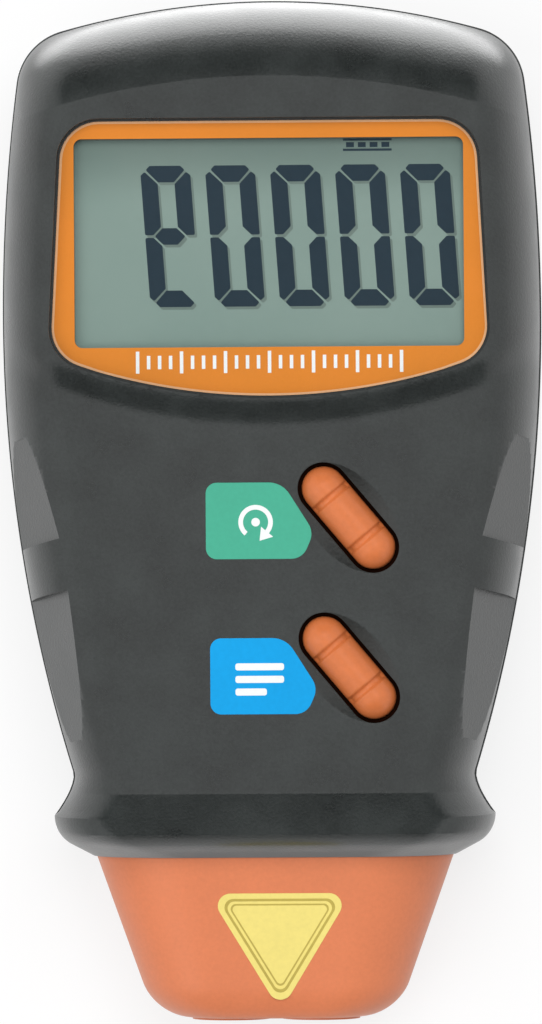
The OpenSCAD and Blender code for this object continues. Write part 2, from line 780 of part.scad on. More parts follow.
carrier_y0 = tip_inner_y + fit;
carrier_len = 15;
carrier_y1 = carrier_y0 + carrier_len;
carrier_w = 21;
carrier_h = 10.4;
diode_d = 5;
diode_len = 6;
diode_y = carrier_y1 - diode_len;
diode_stop = 1;
laser_mouth = 2;
laser_mouth_d = 3;
module optics_carrier() {
    color([0.08, 0.08, 0.08])
    difference() {
        box(0, carrier_w, carrier_y0, carrier_y1, optics_z - carrier_h / 2, optics_z + carrier_h / 2);
        rod_y(laser_x, optics_z, carrier_y0 - wall, carrier_y1 + wall, laser_d + fit);
        rod_y(receiver_x, optics_z, carrier_y0 - wall, diode_y - diode_stop, light_d);
        rod_y(receiver_x, optics_z, diode_y - wall, carrier_y1 + wall, diode_d + fit);
    }
}

module laser_module() {
    color([0.75, 0.6, 0.3])
    difference() {
        rod_y(laser_x, optics_z, carrier_y1 - laser_len, carrier_y1, laser_d);
        rod_y(laser_x, optics_z, carrier_y1 - laser_len - wall, carrier_y1 - laser_len + laser_mouth,
            laser_mouth_d);
    }
}

module photodiode() {
    color([0.1, 0.1, 0.14])
    union() {
        rod_y(receiver_x, optics_z, diode_y + diode_d / 2, carrier_y1, diode_d);
        translate([receiver_x, diode_y + diode_d / 2, optics_z]) sphere(d = diode_d);
    }
}

sensor_y = carrier_y1;
sensor_w = 20;
sensor_h = 11;
module sensor_board() {
    color([0.1, 0.35, 0.2])
    box(0, sensor_w, sensor_y, sensor_y + board_t, optics_z - sensor_h / 2, optics_z + sensor_h / 2);
}

// Main board, its parts and the flat cable to the sensor board
board_past = 2;
board_y1 = bezel_top_y + board_past;
board_y0 = board_y1 - board_len;
board_steps = 6;
function board_side(s, order) = [for (k = order) let (y = mix(board_y0, board_y1, k / board_steps))
    [s * outline_half(y, board_margin), y]];
module main_board() {
    color([0.1, 0.35, 0.2])
    difference() {
        translate([0, 0, board_z])
        linear_extrude(board_t)
        polygon(concat(
            board_side(1, [0:board_steps]),
            board_side(-1, [board_steps:-1:0])));
        board_places()
        translate([0, 0, board_z - wall])
        cylinder(d = board_screw_d + 3 * pilot, h = board_t + 2 * wall);
    }
}

cable_w = 8;
cable_t = 0.5;
cable_end = 4;
cable_y = sensor_y + board_t;
module ribbon_cable() {
    color([0.6, 0.6, 0.58])
    along_x(cable_w, [
        [board_y0 + cable_end, board_z],
        [board_y0 - cable_end / 2, board_z],
        [cable_y, optics_z + cable_end],
        [cable_y, optics_z - cable_end],
        [cable_y + cable_t, optics_z - cable_end],
        [cable_y + cable_t, optics_z + cable_end - cable_t / 2],
        [board_y0 + (cable_t - cable_end) / 2, board_z - cable_t],
        [board_y0 + cable_end, board_z - cable_t]]);
}

// A prism across x through a section drawn in y and z
module along_x(w, pts) {
    translate([-w / 2, 0, 0])
    rotate([90, 0, 90])
    linear_extrude(w)
    polygon(pts);
}

chip_x = -11;
chip_down = 9;
chip_y = test_y - chip_down;
chip_w = 9;
crystal_down = 10;
chip_h = 1.4;
pin_n = 8;
pin_w = 0.4;
pin_t = 0.3;
pin_out = 1;
module microcontroller() {
    color([0.06, 0.06, 0.06])
    translate([chip_x, chip_y, board_top]) {
        box(0, chip_w, -chip_w / 2, chip_w / 2, 0, chip_h);
        for (k = [0:pin_n - 1]) let (t = (k + 0.5) * chip_w / pin_n - chip_w / 2) {
            box(0, chip_w + 2 * pin_out, t - pin_w / 2, t + pin_w / 2, 0, pin_t);
            box(t, pin_w, -chip_w / 2 - pin_out, chip_w / 2 + pin_out, 0, pin_t);
        }
    }
}

crystal_len = 8;
crystal_w = 3.6;
crystal_h = 2;
module crystal() {
    color([0.7, 0.7, 0.72])
    translate([chip_x, chip_y - crystal_down, board_top]) {
        box(0, crystal_len - crystal_w, -crystal_w / 2, crystal_w / 2, 0, crystal_h);
        for (s = [-1, 1])
        translate([s * (crystal_len - crystal_w) / 2, 0, 0])
        cylinder(d = crystal_w, h = crystal_h);
    }
}

// Display stack
module display_lens() {
    color([0.75, 0.8, 0.82, 0.5])
    translate([0, 0, lens_z])
    linear_extrude(lens_t)
    polygon(bezel_points(0));
}

module lens_border() {
    color([0.88, 0.54, 0.23])
    translate([0, 0, film_z])
    linear_extrude(film_t)
    difference() {
        polygon(bezel_points(0));
        polygon(window_points());
    }
}

module lcd_panel() {
    color([0.5, 0.57, 0.54])
    box(0, lcd_w, window_mid_y - lcd_h / 2, window_mid_y + lcd_h / 2, lcd_z, lcd_z + lcd_t);
}

frame_wall = 0.8;
frame_lip = 1.2;
module lcd_frame() {
    w = lcd_w / 2 + fit + frame_wall;
    inner = lcd_h / 2 + fit;
    outer = inner + frame_wall;
    color([0.1, 0.1, 0.1])
    difference() {
        box(0, 2 * w, window_mid_y - outer, window_mid_y + outer, board_top, lcd_z + frame_lip);
        box(0, lcd_w + 2 * fit, window_mid_y - inner, window_mid_y + inner, lcd_z, overall_h);
        box(0, lcd_w - 2 * frame_lip, window_mid_y - inner, window_mid_y + inner, board_z, overall_h);
    }
}

module contact_strips() {
    run = lcd_w - 4 * frame_lip;
    color([0.75, 0.5, 0.55])
    for (s = [-1, 1]) let (y = window_mid_y + s * (lcd_h / 2 - strip_w))
    box(0, run, y - strip_w / 2, y + strip_w / 2, board_top, lcd_z);
}

// Buttons and their switches
keyroof_z = face_z - wall;
rim_top = keyroof_z - fit;
rim_t = 0.8;
rim_z = rim_top - rim_t;
rim_out = 0.9;
cap_z = face_z + button_proud - button_w / 2;
groove_w = 0.9;
switch_w = 3;
switch_len = 6;
switch_gap = 0.3;
plunger_z = board_top + button_travel + fit;

module button() {
    r = button_w / 2;
    run = button_len / 2 - r;
    color([0.87, 0.5, 0.28])
    difference() {
        union() {
            rod_y(0, cap_z, -run, run, button_w);
            for (s = [-1, 1]) translate([0, s * run, cap_z]) sphere(r = r);
            stadium(0, rim_z, cap_z);
            stadium(rim_out, rim_z, rim_top);
        }
        box(0, 2 * button_w, -button_len, button_len, board_z, rim_z);
        for (s = [-1, 1]) translate([0, s * groove_from_mid, 0])
        intersection() {
            difference() {
                rod_y(0, cap_z, -groove_w / 2, groove_w / 2, 2 * button_w);
                rod_y(0, cap_z, -groove_w, groove_w, button_w - 2 * groove_depth);
            }
            box(0, 2 * button_w, -groove_w, groove_w, cap_z, overall_h);
        }
        box(0, switch_w + 2 * switch_gap, -switch_len / 2 - switch_gap, switch_len / 2 + switch_gap,
            board_z, rim_top);
    }
}

module plunger() {
    color([0.05, 0.05, 0.05])
    translate([0, 0, plunger_z])
    cylinder(d = plunger_d, h = rim_top - plunger_z);
}

module switch() {
    color([0.3, 0.3, 0.3])
    difference() {
        box(0, switch_w, -switch_len / 2, switch_len / 2, board_top, board_top + switch_h);
        translate([0, 0, board_top - wall]) cylinder(d = plunger_d + fit, h = switch_h + 2 * wall);
    }
}

module test_button() { at_button(test_y) button(); }
module test_plunger() { at_button(test_y) plunger(); }
module test_switch() { at_button(test_y) switch(); }
module memory_button() { at_button(memory_y) button(); }
module memory_plunger() { at_button(memory_y) plunger(); }
module memory_switch() { at_button(memory_y) switch(); }

// Battery, its snap and leads
stud_x = 6.35;
stud_d = 6;
snap_w = 24;
snap_h = 11;
snap_t = 4.6;
snap_y1 = battery_y0 - fit;
module battery() {
    color([0.25, 0.25, 0.3])
    union() {
        box(0, battery_w, battery_y0, battery_y1, battery_z, battery_top);
        for (s = [-1, 1]) rod_y(s * stud_x, lead_z, battery_y0 - stud_h, battery_y0 + fit, stud_d);
    }
}

module battery_snap() {
    color([0.06, 0.06, 0.06])
    difference() {
        box(0, snap_w, snap_y1 - snap_t, snap_y1, lead_z - snap_h / 2, lead_z + snap_h / 2);
        for (s = [-1, 1]) rod_y(s * stud_x, lead_z, battery_y0 - stud_h - fit, battery_y0, stud_d + fit);
    }
}

module battery_leads() {
    color([0.6, 0.1, 0.1])
    for (s = [-1, 1]) {
        rod_y(s * lead_x, lead_z, lead_y, snap_y1 - snap_t, lead_d);
        translate([s * lead_x, lead_y, lead_z]) sphere(d = lead_d);
        translate([s * lead_x, lead_y, lead_z]) cylinder(d = lead_d, h = board_z - lead_z);
    }
}

// Screws with cross slots
module screw(d, len, hd, hh) {
    slot = hd / 7;
    difference() {
        union() {
            cylinder(d = d, h = len);
            translate([0, 0, -hh]) cylinder(d = hd, h = hh);
        }
        for (a = [0, 90]) rotate([0, 0, a]) box(0, slot, -hd / 3, hd / 3, -2 * hh, -hh / 2);
    }
}

module case_screws() {
    color([0.6, 0.6, 0.62])
    case_places() translate([0, 0, head_z]) screw(case_screw_d, case_screw_len, head_d, head_h);
}

module board_screws() {
    color([0.6, 0.6, 0.62])
    board_places()
    translate([0, 0, board_z])
    screw(board_screw_d, board_screw_len, board_head_d, board_head_h);
}

front_shell();
rear_shell();
battery_cover();
nose_cap();
display_lens();
lens_border();
lcd_panel();
lcd_frame();
contact_strips();
main_board();
microcontroller();
crystal();
test_button();
test_plunger();
test_switch();
memory_button();
memory_plunger();
memory_switch();
laser_window();
receiver_lens();
laser_module();
photodiode();
optics_carrier();
sensor_board();
ribbon_cable();
battery();
battery_snap();
battery_leads();
case_screws();
board_screws();
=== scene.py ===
# Looks of a hand-held laser tachometer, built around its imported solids.
import math

import bmesh
import bpy
import numpy as np
from mathutils import Matrix, Vector


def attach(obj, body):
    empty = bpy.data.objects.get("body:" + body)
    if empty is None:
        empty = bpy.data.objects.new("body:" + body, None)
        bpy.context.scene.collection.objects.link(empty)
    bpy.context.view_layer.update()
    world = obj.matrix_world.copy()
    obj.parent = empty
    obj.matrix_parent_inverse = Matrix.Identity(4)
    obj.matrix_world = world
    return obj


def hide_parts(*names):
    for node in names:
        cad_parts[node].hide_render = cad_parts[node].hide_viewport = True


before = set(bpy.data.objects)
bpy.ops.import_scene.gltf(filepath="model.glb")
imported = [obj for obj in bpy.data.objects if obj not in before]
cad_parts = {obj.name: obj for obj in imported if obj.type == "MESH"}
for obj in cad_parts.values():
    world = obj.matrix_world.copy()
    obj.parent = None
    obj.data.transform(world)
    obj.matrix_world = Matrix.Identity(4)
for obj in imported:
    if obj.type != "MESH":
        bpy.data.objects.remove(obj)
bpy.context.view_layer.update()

MM = 0.001

# Sizes of the housing, in millimetres, as in the solids
OVERALL_LEN = 131.0
END_Y = OVERALL_LEN / 2
TIP_Y = -END_Y
HALF_W = 34.7
WALL = 2.0
FIT = 0.1
SEAM_Z = 13.0
SEAM_STEP = 0.3
WIDEST_FROM_END = 40.8
WIDEST_Y = END_Y - WIDEST_FROM_END
BOW_REAR_R = 235.0
BOW_FRONT_R = 200.0
END_BOW_R = 100.0
CORNER_R = 8.0
END_ROUND = 12.5
END_CROWN = 0.27
SIDE_ROUND = 7.5
BACK_ROUND = 5.0
FACE_Z = 27.0
PLATFORM_RISE = 1.4
PLATFORM_SLOPE = 4.2
COLLAR_W = 56.8
COLLAR_RISE = 2.0
CREST_FROM_TIP = 26.3
CREST_Y = TIP_Y + CREST_FROM_TIP
FLARE_LEN = 5.4
FLARE_Y = CREST_Y + FLARE_LEN
FLARE_POWER = 1.4
LIP_R = 4.2
LIP_TURN = math.radians(60)
LIP_EDGE = 0.4
RIDGE_TURN = LIP_TURN / 2
RAMP_LEN = 5.2
RAMP_Y = CREST_Y - LIP_R * math.sin(RIDGE_TURN) + RAMP_LEN
LIP_LEN = 5.2
JOINT_Y = CREST_Y - LIP_LEN
MOUTH_W = 46.0
MOUTH_HALF_H = 10.3
MOUTH_TOP = SEAM_Z + MOUTH_HALF_H
MOUTH_LOW = SEAM_Z - MOUTH_HALF_H
MOUTH_ROUND = 12.0
CAVITY_PAST = 2.4
CAVITY_Y = CREST_Y - CAVITY_PAST
CAVITY_DRAW = 1.4
BEND_LEAD = 20.0
BEND_TAIL = 5.0
TOP_Z = FACE_Z + COLLAR_RISE
DOME = 1 + END_CROWN / (FACE_Z + PLATFORM_RISE - SEAM_Z)

# Display
BEZEL_FROM_END = 16.0
BEZEL_H = 29.8
BEZEL_TOP_Y = END_Y - BEZEL_FROM_END
BEZEL_LOW_Y = BEZEL_TOP_Y - BEZEL_H
BEZEL_LOW_W = 55.8
BEZEL_TOP_W = 52.6
BEZEL_BOW = 5.2
BEZEL_R = 5.0
BEZEL_LINE = 0.35
BOW_R = ((BEZEL_LOW_W / 2) ** 2 + BEZEL_BOW ** 2) / (2 * BEZEL_BOW)
# Width of the painted highlight along the border's outer edge
HIGHLIGHT_W = 0.28
WINDOW_W = 49.6
WINDOW_H = 26.6
WINDOW_FROM_TOP = 2.2
WINDOW_MID_Y = BEZEL_TOP_Y - WINDOW_FROM_TOP - WINDOW_H / 2
WINDOW_R = 1.0
LEDGE_Z = 25.4
LEDGE_PAST = 1.0
LEDGE_OVERLAP = 0.5
FILM_Z = 26.4
LENS_Z = 26.6
LENS_TOP = 28.1
LENS_EDGE = 0.25
LCD_W = 51.7
LCD_H = 30.6
LCD_Z = 23.3
LCD_TOP = 25.3
LCD_R = 0.4
LCD_EDGE = 0.2
BOARD_TOP = 22.3

# Keys
BUTTON_X = 9.9
MEMORY_FROM_CREST = 19.0
BUTTON_PITCH = 19.1
MEMORY_Y = CREST_Y + MEMORY_FROM_CREST
TEST_Y = MEMORY_Y + BUTTON_PITCH
BUTTON_LEN = 15.4
BUTTON_W = 5.6
BUTTON_TURN = math.radians(40)
BUTTON_LINE = 0.5
BUTTON_PROUD = 1.6
BUTTON_END_TURN = math.radians(86)
CAP_Z = FACE_Z + BUTTON_PROUD - BUTTON_W / 2
RIM_TOP = FACE_Z - WALL - FIT
RIM_T = 0.8
RIM_Z = RIM_TOP - RIM_T
RIM_STEP = 0.01
RIM_OUT = 0.9
POCKET_W = 3.6
POCKET_LEN = 6.6
GROOVE_AT = 3.4
GROOVE_W = 0.9
GROOVE_DEPTH = 0.4
GROOVE_POWER = 4
GROOVE_FADE = 4
DISH_W = 10.0
DISH_LEN = 16.6
DISH_DEPTH = 1.2
DISH_REACH = 0.65

# Finger scoops
BRIDGE_FROM_END = 69.8
BRIDGE_Y = END_Y - BRIDGE_FROM_END
BRIDGE_LEN = 6.6
UPPER_SCOOP = 13.5
LOWER_SCOOP = 18.5
SCOOP_TOP = math.radians(74)
SCOOP_MID = math.radians(42)
SCOOP_LOW = math.radians(6)
SCOOP_OUT = 6.0
SCOOP_REACH = 0.8
SCOOP_SLANT = 1.6

# Nose
RING_PROUD = 0.3
TIP_FACE_Y = TIP_Y + RING_PROUD
TIP_W = 31.2
TIP_H = 18.0
TIP_R = 4.4
TIP_EDGE = 2.5
TIP_WALL = 2.4
TIP_INNER_Y = TIP_FACE_Y + TIP_WALL
NOSE_WALL = 2.0
NOSE_LINE = 0.3
OPTICS_X = 5.7
RING_D = 10.2
OPTIC_D = 8.6
LIGHT_D = 7.2
SEAT_DEPTH = 1.8
SEAT_Y = TIP_Y + SEAT_DEPTH
FLANGE_Y = CAVITY_Y + FIT
FLANGE_T = 1.2
FLANGE_END_Y = FLANGE_Y + FLANGE_T
FLANGE_OUT = 1.2
OPTICS = ["laser_window", "receiver_lens", "laser_module", "photodiode", "optics_carrier", "sensor_board",
          "ribbon_cable"]

# Battery bay, cover and case screws
SLIDE_GAP = 0.3
COVER_W = 34.0
COVER_BEVEL = 1.5
COVER_END_H = 11.6
COVER_LIFT = 0.2
COVER_LAND = 1.5
BATTERY_FROM_END = 8.0
BATTERY_LEN = 45.5
SNAP_ROOM = 11.6
BAY_FROM_END = 6.5
BAY_SIDE = 0.2
BAY_Y0 = END_Y - BATTERY_FROM_END - BATTERY_LEN - SNAP_ROOM
BAY_Y1 = END_Y - BAY_FROM_END
COVER_Y0 = BAY_Y0 + COVER_LAND
BAY_HALF = COVER_W / 2 + SLIDE_GAP + BAY_SIDE
BAY_WALL = 1.2
ROOF_Z = 19.0
ROOF_T = 0.9
TAB_W = 10.0
TAB_OUT = 1.0
TAB_ROOT = 3.0
TAB_SLOT_OUT = 1.3
TAB_SLOT_LOW = 0.7
TAB_SLOT_HIGH = 2.3
GRIP_N = 5
GRIP_FROM_END = 16.0
GRIP_PITCH = 2.2
GRIP_D = 1.4
GRIP_W = 18.0
CASE_LOW_UP = 3.2
CASE_LOW_IN = 7.4
CASE_HIGH_FROM_END = 10.0
CASE_HIGH_IN = 10.8
CASE_HIGH_DROP = 1.8
CASE_BOSS_D = 6.0
HEAD_D = 4.6
HEAD_GAP = 0.3
HEAD_WALL = 1.5
HEAD_Z = 8.0
SCREW_D = 2.3

# Digits of the display
DIGIT_W = 6.35
DIGIT_H = 18.0
DIGIT_PITCH = 8.27
DIGIT_FIRST_X = -12.6
DIGIT_MID_Y = 34.88
DIGIT_LEAN = math.tan(math.radians(4))
SEGMENT_T = 2.1
SEGMENT_GAP = 0.17
SEGMENT_CUT = 1.05
SEGMENT_R = 0.2
MITRE_IN = 0.4
MITRE_OUT = 1.4
# Shift of the painted shadow of the digits
DIGIT_SHADOW_SHIFT = (0.3, -0.35)
# Lit segments of each digit: a is the top, b and c are upper right and left, d and e lower right and left,
# f is the bottom and g the middle
LIT = ["abcefg", "abcdef", "abcdef", "abcdef", "abcdef"]

# Level mark at the top of the display
LEVEL_X = 12.6
LEVEL_Y = 46.4
LEVEL_W = 6.2
LEVEL_H = 1.3
LEVEL_LINE = 0.28
LEVEL_BARS = 4
LEVEL_BAR_IN = 0.4
LEVEL_BAR_W = 1.0
LEVEL_BAR_H = 0.64
LEVEL_BAR_PITCH = 1.5

# Labels and print
PRINT_T = 0.03
PRINT_SINK = 0.01
PRINT_CORNER_STEPS = 4
LABEL_T = 0.06
LABEL_SINK = 0.02
LABEL_EDGE = 0.03
LABEL_RADII = [1.4, 2.2, 2.4, 3.2, 1.4]
LABEL_CORNER_IN = 1.3
LABEL_BULGE = 0.15
# Left, right, low and high edge, and where the slanted corner ends at the top and starts at the right
GREEN_EDGES = (-8.25, 5.35, -6.3, 3.45, 1.5, -2.9)
BLUE_EDGES = (-7.8, 5.75, -26.05, -16.35, 1.85, -22.75)
TURN_AT = (-1.9, -1.6)
TURN_FROM = math.radians(-40)
TURN_TO = math.radians(230)
TURN_OUTER = 2.2
TURN_INNER = 1.6
TURN_MIDDLE = 1.9
TURN_POINTS = 40
ARROW_HALF = 1.0
ARROW_LEN = 1.5
DOT_D = 1.1
DOT_POINTS = 24
STACK_LEFT = -4.6
STACK_TOP_Y = -20.0
STACK_WIDTHS = (6.2, 6.2, 4.0)
STACK_PITCH = 1.6
STACK_T = 0.9
STACK_R = 0.3
TICKS_ASIDE = 12
TICK_PITCH = 1.4
TICK_W = 0.44
TICK_LONG = 2.8
TICK_SHORT = 1.7
TICK_BELOW = 1.9
LONG_EVERY = 4

# Triangle on the nose, by its corners before they are rounded
TRIANGLE_X = 0.75
TRIANGLE_TOP = -49.0
TRIANGLE_TIP = -64.15
TRIANGLE_HALF = 9.15
TRIANGLE_R = 1.6
TRIANGLE_LEAST_R = 0.5
# How much an inset of 1 mm takes off the half width, the tip and the corner radius
INSET_HALF = 1.75
INSET_TIP = 2.0
INSET_R = 0.7
# Name of each line on the triangle, its inset and its width
PATCH_LINES = [("patch_line", 0.7, 0.32), ("patch_inner_line", 1.35, 0.2)]

# Fineness of the skins
SIDE_STEPS = 20
FLAT_STEPS = 110
BACK_FLATS = 40
ROW_STEP = 0.5
BACK_ROW_STEP = 0.8
LIP_STEPS = 12
CORNER_STEPS = 40
DISH_STEPS = 60
DISH_ROUND = 240
TIP_STEPS = 16
RING_ROUND = 96
NOSE_STEPS = 24
NOSE_HOLLOW_STEPS = 5
KEY_END_STEPS = 14
KEY_STEPS = 120
KEY_ROUND = 36
GRIP_ROUND = 24
HALVINGS = 50
SEAM_GAP = 0.1
SEAM_SEEN = 0.2
CREASE_ROW = 0.15
OVER = 1.0
SHARP_TURN = 30
KEY_SHARP_TURN = 40
NORMAL_WEIGHT = 80
LEAST_COSINE = 0.3

# Camera, in metres
CAMERA_AT = (0.027, -0.00026, 1.113)
CAMERA_AIM = (-0.00028, -0.00032, 0.013)
CAMERA_ROLL = math.radians(-0.38)
CAMERA_FAR = 50.0
SENSOR_W = 36.0
VIEW_HEIGHT = 0.1319

# Floor, world and cards, in millimetres and shares of white
BACKGROUND_RAYS = ["Is Camera Ray", "Is Glossy Ray", "Is Transmission Ray"]
FLOOR_HALF = 3000.0
FLOOR_DROP = 0.05
FLOOR_PALE = 0.8
FLOOR_GLOW = 0.78
FLOOR_SHADOWED = 0.19
WORLD_PALE = 0.8
WORLD_DIFFUSE = 0.6
CARD_AT = 350.0
CARD_HALF = 300.0
CARD_LOW = 90.0
CARD_HIGH = 720.0


def sag(r, d):
    return r - np.sqrt(r * r - d * d)


def clamp01(v):
    return np.clip(v, 0.0, 1.0)


def smooth(t):
    c = clamp01(t)
    return c * c * (3 - 2 * c)


def mix(a, b, t):
    return a + (b - a) * t


# Formulas of the housing's skin
def bow_half(y, i):
    r = np.where(y > WIDEST_Y, BOW_REAR_R, BOW_FRONT_R)
    return HALF_W - r + np.sqrt((r - i) ** 2 - (y - WIDEST_Y) ** 2)


def flare_share(y):
    return clamp01((FLARE_Y - y) / FLARE_LEN) ** FLARE_POWER


def outline_half(y, i):
    """Half width of the outline at y, inset by i."""
    return bow_half(y, i) + flare_share(y) * (COLLAR_W / 2 - bow_half(CREST_Y, 0))


def corner_circle():
    """Centre and end angles of the outline's corner, where the offset bows cross."""
    end_c = np.array([0.0, END_Y - END_BOW_R])
    side_c = np.array([HALF_W - BOW_REAR_R, WIDEST_Y])
    gap = np.linalg.norm(side_c - end_c)
    u = (side_c - end_c) / gap
    r_end = END_BOW_R - CORNER_R
    r_side = BOW_REAR_R - CORNER_R
    along = (r_end ** 2 - r_side ** 2 + gap ** 2) / (2 * gap)
    aside = math.sqrt(r_end ** 2 - along ** 2)
    c = end_c + u * along + np.array([u[1], -u[0]]) * aside
    start = math.atan2(c[1] - side_c[1], c[0] - side_c[0])
    stop = math.atan2(c[1] - end_c[1], c[0] - end_c[0])
    return c, start, stop


CORNER_C, CORNER_FROM, CORNER_TO = corner_circle()
SIDE_END_Y = CORNER_C[1] + CORNER_R * math.sin(CORNER_FROM)


def lip_share(a):
    """Share of the way in to the nose joint, after a turn of a round the lip."""
    return LIP_R * (1 - np.cos(a)) / (COLLAR_W / 2 - MOUTH_W / 2 - LIP_EDGE)


def lip_rows():
    a = np.linspace(LIP_TURN, 0, LIP_STEPS + 1)
    half = COLLAR_W / 2 - LIP_R * (1 - np.cos(a))
    arc = np.stack([half, CREST_Y - LIP_R * np.sin(a), lip_share(a)], 1)
    return np.vstack([[MOUTH_W / 2 + LIP_EDGE, JOINT_Y, 1.0], arc])


def crease_y(i):
    """Y at the side of the row in which the display platform cuts off the end's round-over."""
    goal = END_Y - i - END_ROUND * (1 - math.sqrt(1 - 1 / DOME ** 2))
    low, high = WIDEST_Y, SIDE_END_Y
    for _ in range(HALVINGS):
        y = np.array((low + high) / 2)
        if y + bend_at(y) * sag(END_BOW_R - i, outline_half(y, i)) < goal:
            low = float(y)
        else:
            high = float(y)
    return low


def side_rows(step, i):
    """Even rows, with close ones at the ramp's foot and at the crease of the display end."""
    count = int((SIDE_END_Y - CREST_Y) / step)
    even = np.linspace(CREST_Y, SIDE_END_Y, count + 1)[1:-1]
    sharp = np.array([y + d for y in (RAMP_Y, crease_y(i)) for d in (-CREASE_ROW, 0, CREASE_ROW)])
    apart = np.abs(even[:, None] - sharp).min(1) > CREASE_ROW / 2
    y = np.sort(np.concatenate([even[apart], sharp]))
    return np.stack([outline_half(y, i), y, 0 * y], 1)


def corner_rows(i, steps):
    a = np.linspace(CORNER_FROM, CORNER_TO, steps + 1)
    r = CORNER_R - i
    return np.stack([CORNER_C[0] + r * np.cos(a), CORNER_C[1] + r * np.sin(a), 0 * a], 1)


def outer_rows(step, i, steps):
    """Rows of an outer skin: half width, y, and the share of the way in to the nose joint."""
    return np.vstack([lip_rows(), side_rows(step, i), corner_rows(i, steps)])


def cavity_rows(step, i, steps):
    start = [[COLLAR_W / 2 - i - CAVITY_DRAW, CAVITY_Y, 0], [COLLAR_W / 2 - i, CREST_Y, 0]]
    return np.vstack([start, side_rows(step, i), corner_rows(i, steps)])


def across(w, r, sides, flats):
    """Points across a row: x, and the share of the height, from the left edge to the right edge."""
    a = np.linspace(0, math.pi / 2, sides + 1)
    left = -w + r * (1 - np.cos(a))
    flat = mix(-w + r, w - r, np.linspace(0, 1, flats + 1)[1:-1])
    x = np.hstack([left, flat, -left[:, ::-1]])
    share = np.concatenate([np.sin(a), np.ones(flats - 1), np.sin(a)[::-1]])
    return x, share


def platform_at(x, y):
    lift = y - BEZEL_LOW_Y + BEZEL_BOW - sag(BOW_R, np.minimum(abs(x), BOW_R / 2))
    return PLATFORM_RISE * smooth(lift / PLATFORM_SLOPE + 1)


def bend_at(y):
    """Share of the end's bow that a row follows."""
    low = WIDEST_Y - BEND_LEAD
    return smooth((y - low) / (END_Y - END_ROUND - BEND_TAIL - low))


def end_share(y0, i, length):
    return np.sqrt(1 - clamp01((y0 - END_Y + i + length) / length) ** 2)


def front_top(y, s):
    """Height of the front before the platform's rise: a ramp up to the collar's ridge, then the lip."""
    ridge = lip_share(RIDGE_TURN)
    fall = np.maximum(s - ridge, 0) / (1 - ridge)
    ramp_top = FACE_Z + COLLAR_RISE * clamp01((RAMP_Y - y) / RAMP_LEN)
    return mix(ramp_top, MOUTH_TOP + LIP_EDGE, fall)


def front_grid(rows, i, base, sides=SIDE_STEPS, flats=FLAT_STEPS):
    w, y, s = (column[:, None] for column in rows.T)
    bend = bend_at(y)
    y0 = y + bend * sag(END_BOW_R - i, w)
    top = front_top(y, s) - max(i - SEAM_STEP, 0) * (1 - s)
    x, share = across(w, mix(SIDE_ROUND, MOUTH_ROUND, s), sides, flats)
    yy = y0 - bend * sag(END_BOW_R - i, x)
    end = np.minimum(DOME * end_share(y0, i, END_ROUND), 1)
    zz = base + (top + platform_at(x, yy) - base) * share * end
    return np.stack([x, yy, zz], -1)


def rear_grid(rows, i, base, sides=SIDE_STEPS, flats=BACK_FLATS):
    w, y, s = (column[:, None] for column in rows.T)
    bend = bend_at(y)
    y0 = y + bend * sag(END_BOW_R - i, w)
    low = mix(0, MOUTH_LOW - LIP_EDGE, s) + i * (1 - s)
    x, share = across(w, mix(BACK_ROUND, MOUTH_ROUND, s), sides, flats)
    yy = y0 - bend * sag(END_BOW_R - i, x)
    zz = base + (low - base) * share * end_share(y0, i, BACK_ROUND)
    return np.stack([x, yy, zz], -1)


# Meshes
def add_object(name, points, faces):
    mesh = bpy.data.meshes.new(name)
    mesh.from_pydata((np.asarray(points, float) * MM).tolist(), [], faces)
    bm = bmesh.new()
    bm.from_mesh(mesh)
    bmesh.ops.recalc_face_normals(bm, faces=bm.faces)
    bm.to_mesh(mesh)
    bm.free()
    obj = bpy.data.objects.new(name, mesh)
    bpy.context.scene.collection.objects.link(obj)
    return obj


def grid_faces(m, n, wrap):
    i, j = np.meshgrid(np.arange(m - 1), np.arange(n if wrap else n - 1), indexing="ij")
    k = (j + 1) % n
    return np.stack([i * n + j, i * n + k, (i + 1) * n + k, (i + 1) * n + j], -1).reshape(-1, 4).tolist()


def loft_rows(name, grid):
    """Closed solid through rows that stand on one plane."""
    m, n = grid.shape[:2]
    floor = [[i * n, i * n + n - 1, (i + 1) * n + n - 1, (i + 1) * n] for i in range(m - 1)]
    caps = [list(range(n)), list(range((m - 1) * n, m * n))]
    return add_object(name, grid.reshape(-1, 3), grid_faces(m, n, False) + floor + caps)


def loft_rings(name, grid):
    """Closed solid through closed rings."""
    m, n = grid.shape[:2]
    caps = [list(range(n)), list(range((m - 1) * n, m * n))]
    return add_object(name, grid.reshape(-1, 3), grid_faces(m, n, True) + caps)


def combine(obj, tool, operation="DIFFERENCE"):
    """Apply a boolean and delete the tool."""
    mod = obj.modifiers.new("combine", "BOOLEAN")
    mod.operation = operation
    mod.solver = "MANIFOLD"
    mod.object = tool
    depsgraph = bpy.context.evaluated_depsgraph_get()
    mesh = bpy.data.meshes.new_from_object(obj.evaluated_get(depsgraph))
    obj.modifiers.clear()
    before = obj.data
    obj.data = mesh
    bpy.data.meshes.remove(before)
    bpy.data.objects.remove(tool)
    return obj


def finish_piece(obj, body, look, stands_for=(), sharp=SHARP_TURN):
    """Give a piece its look, its shading and its place in the frame."""
    obj.data.materials.clear()
    obj.data.materials.append(look)
    obj.data.shade_smooth()
    obj.data.set_sharp_from_angle(angle=math.radians(sharp))
    weighted = obj.modifiers.new("normals", "WEIGHTED_NORMAL")
    weighted.keep_sharp = True
    weighted.weight = NORMAL_WEIGHT
    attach(obj, body)
    if stands_for:
        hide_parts(*stands_for)
    return obj


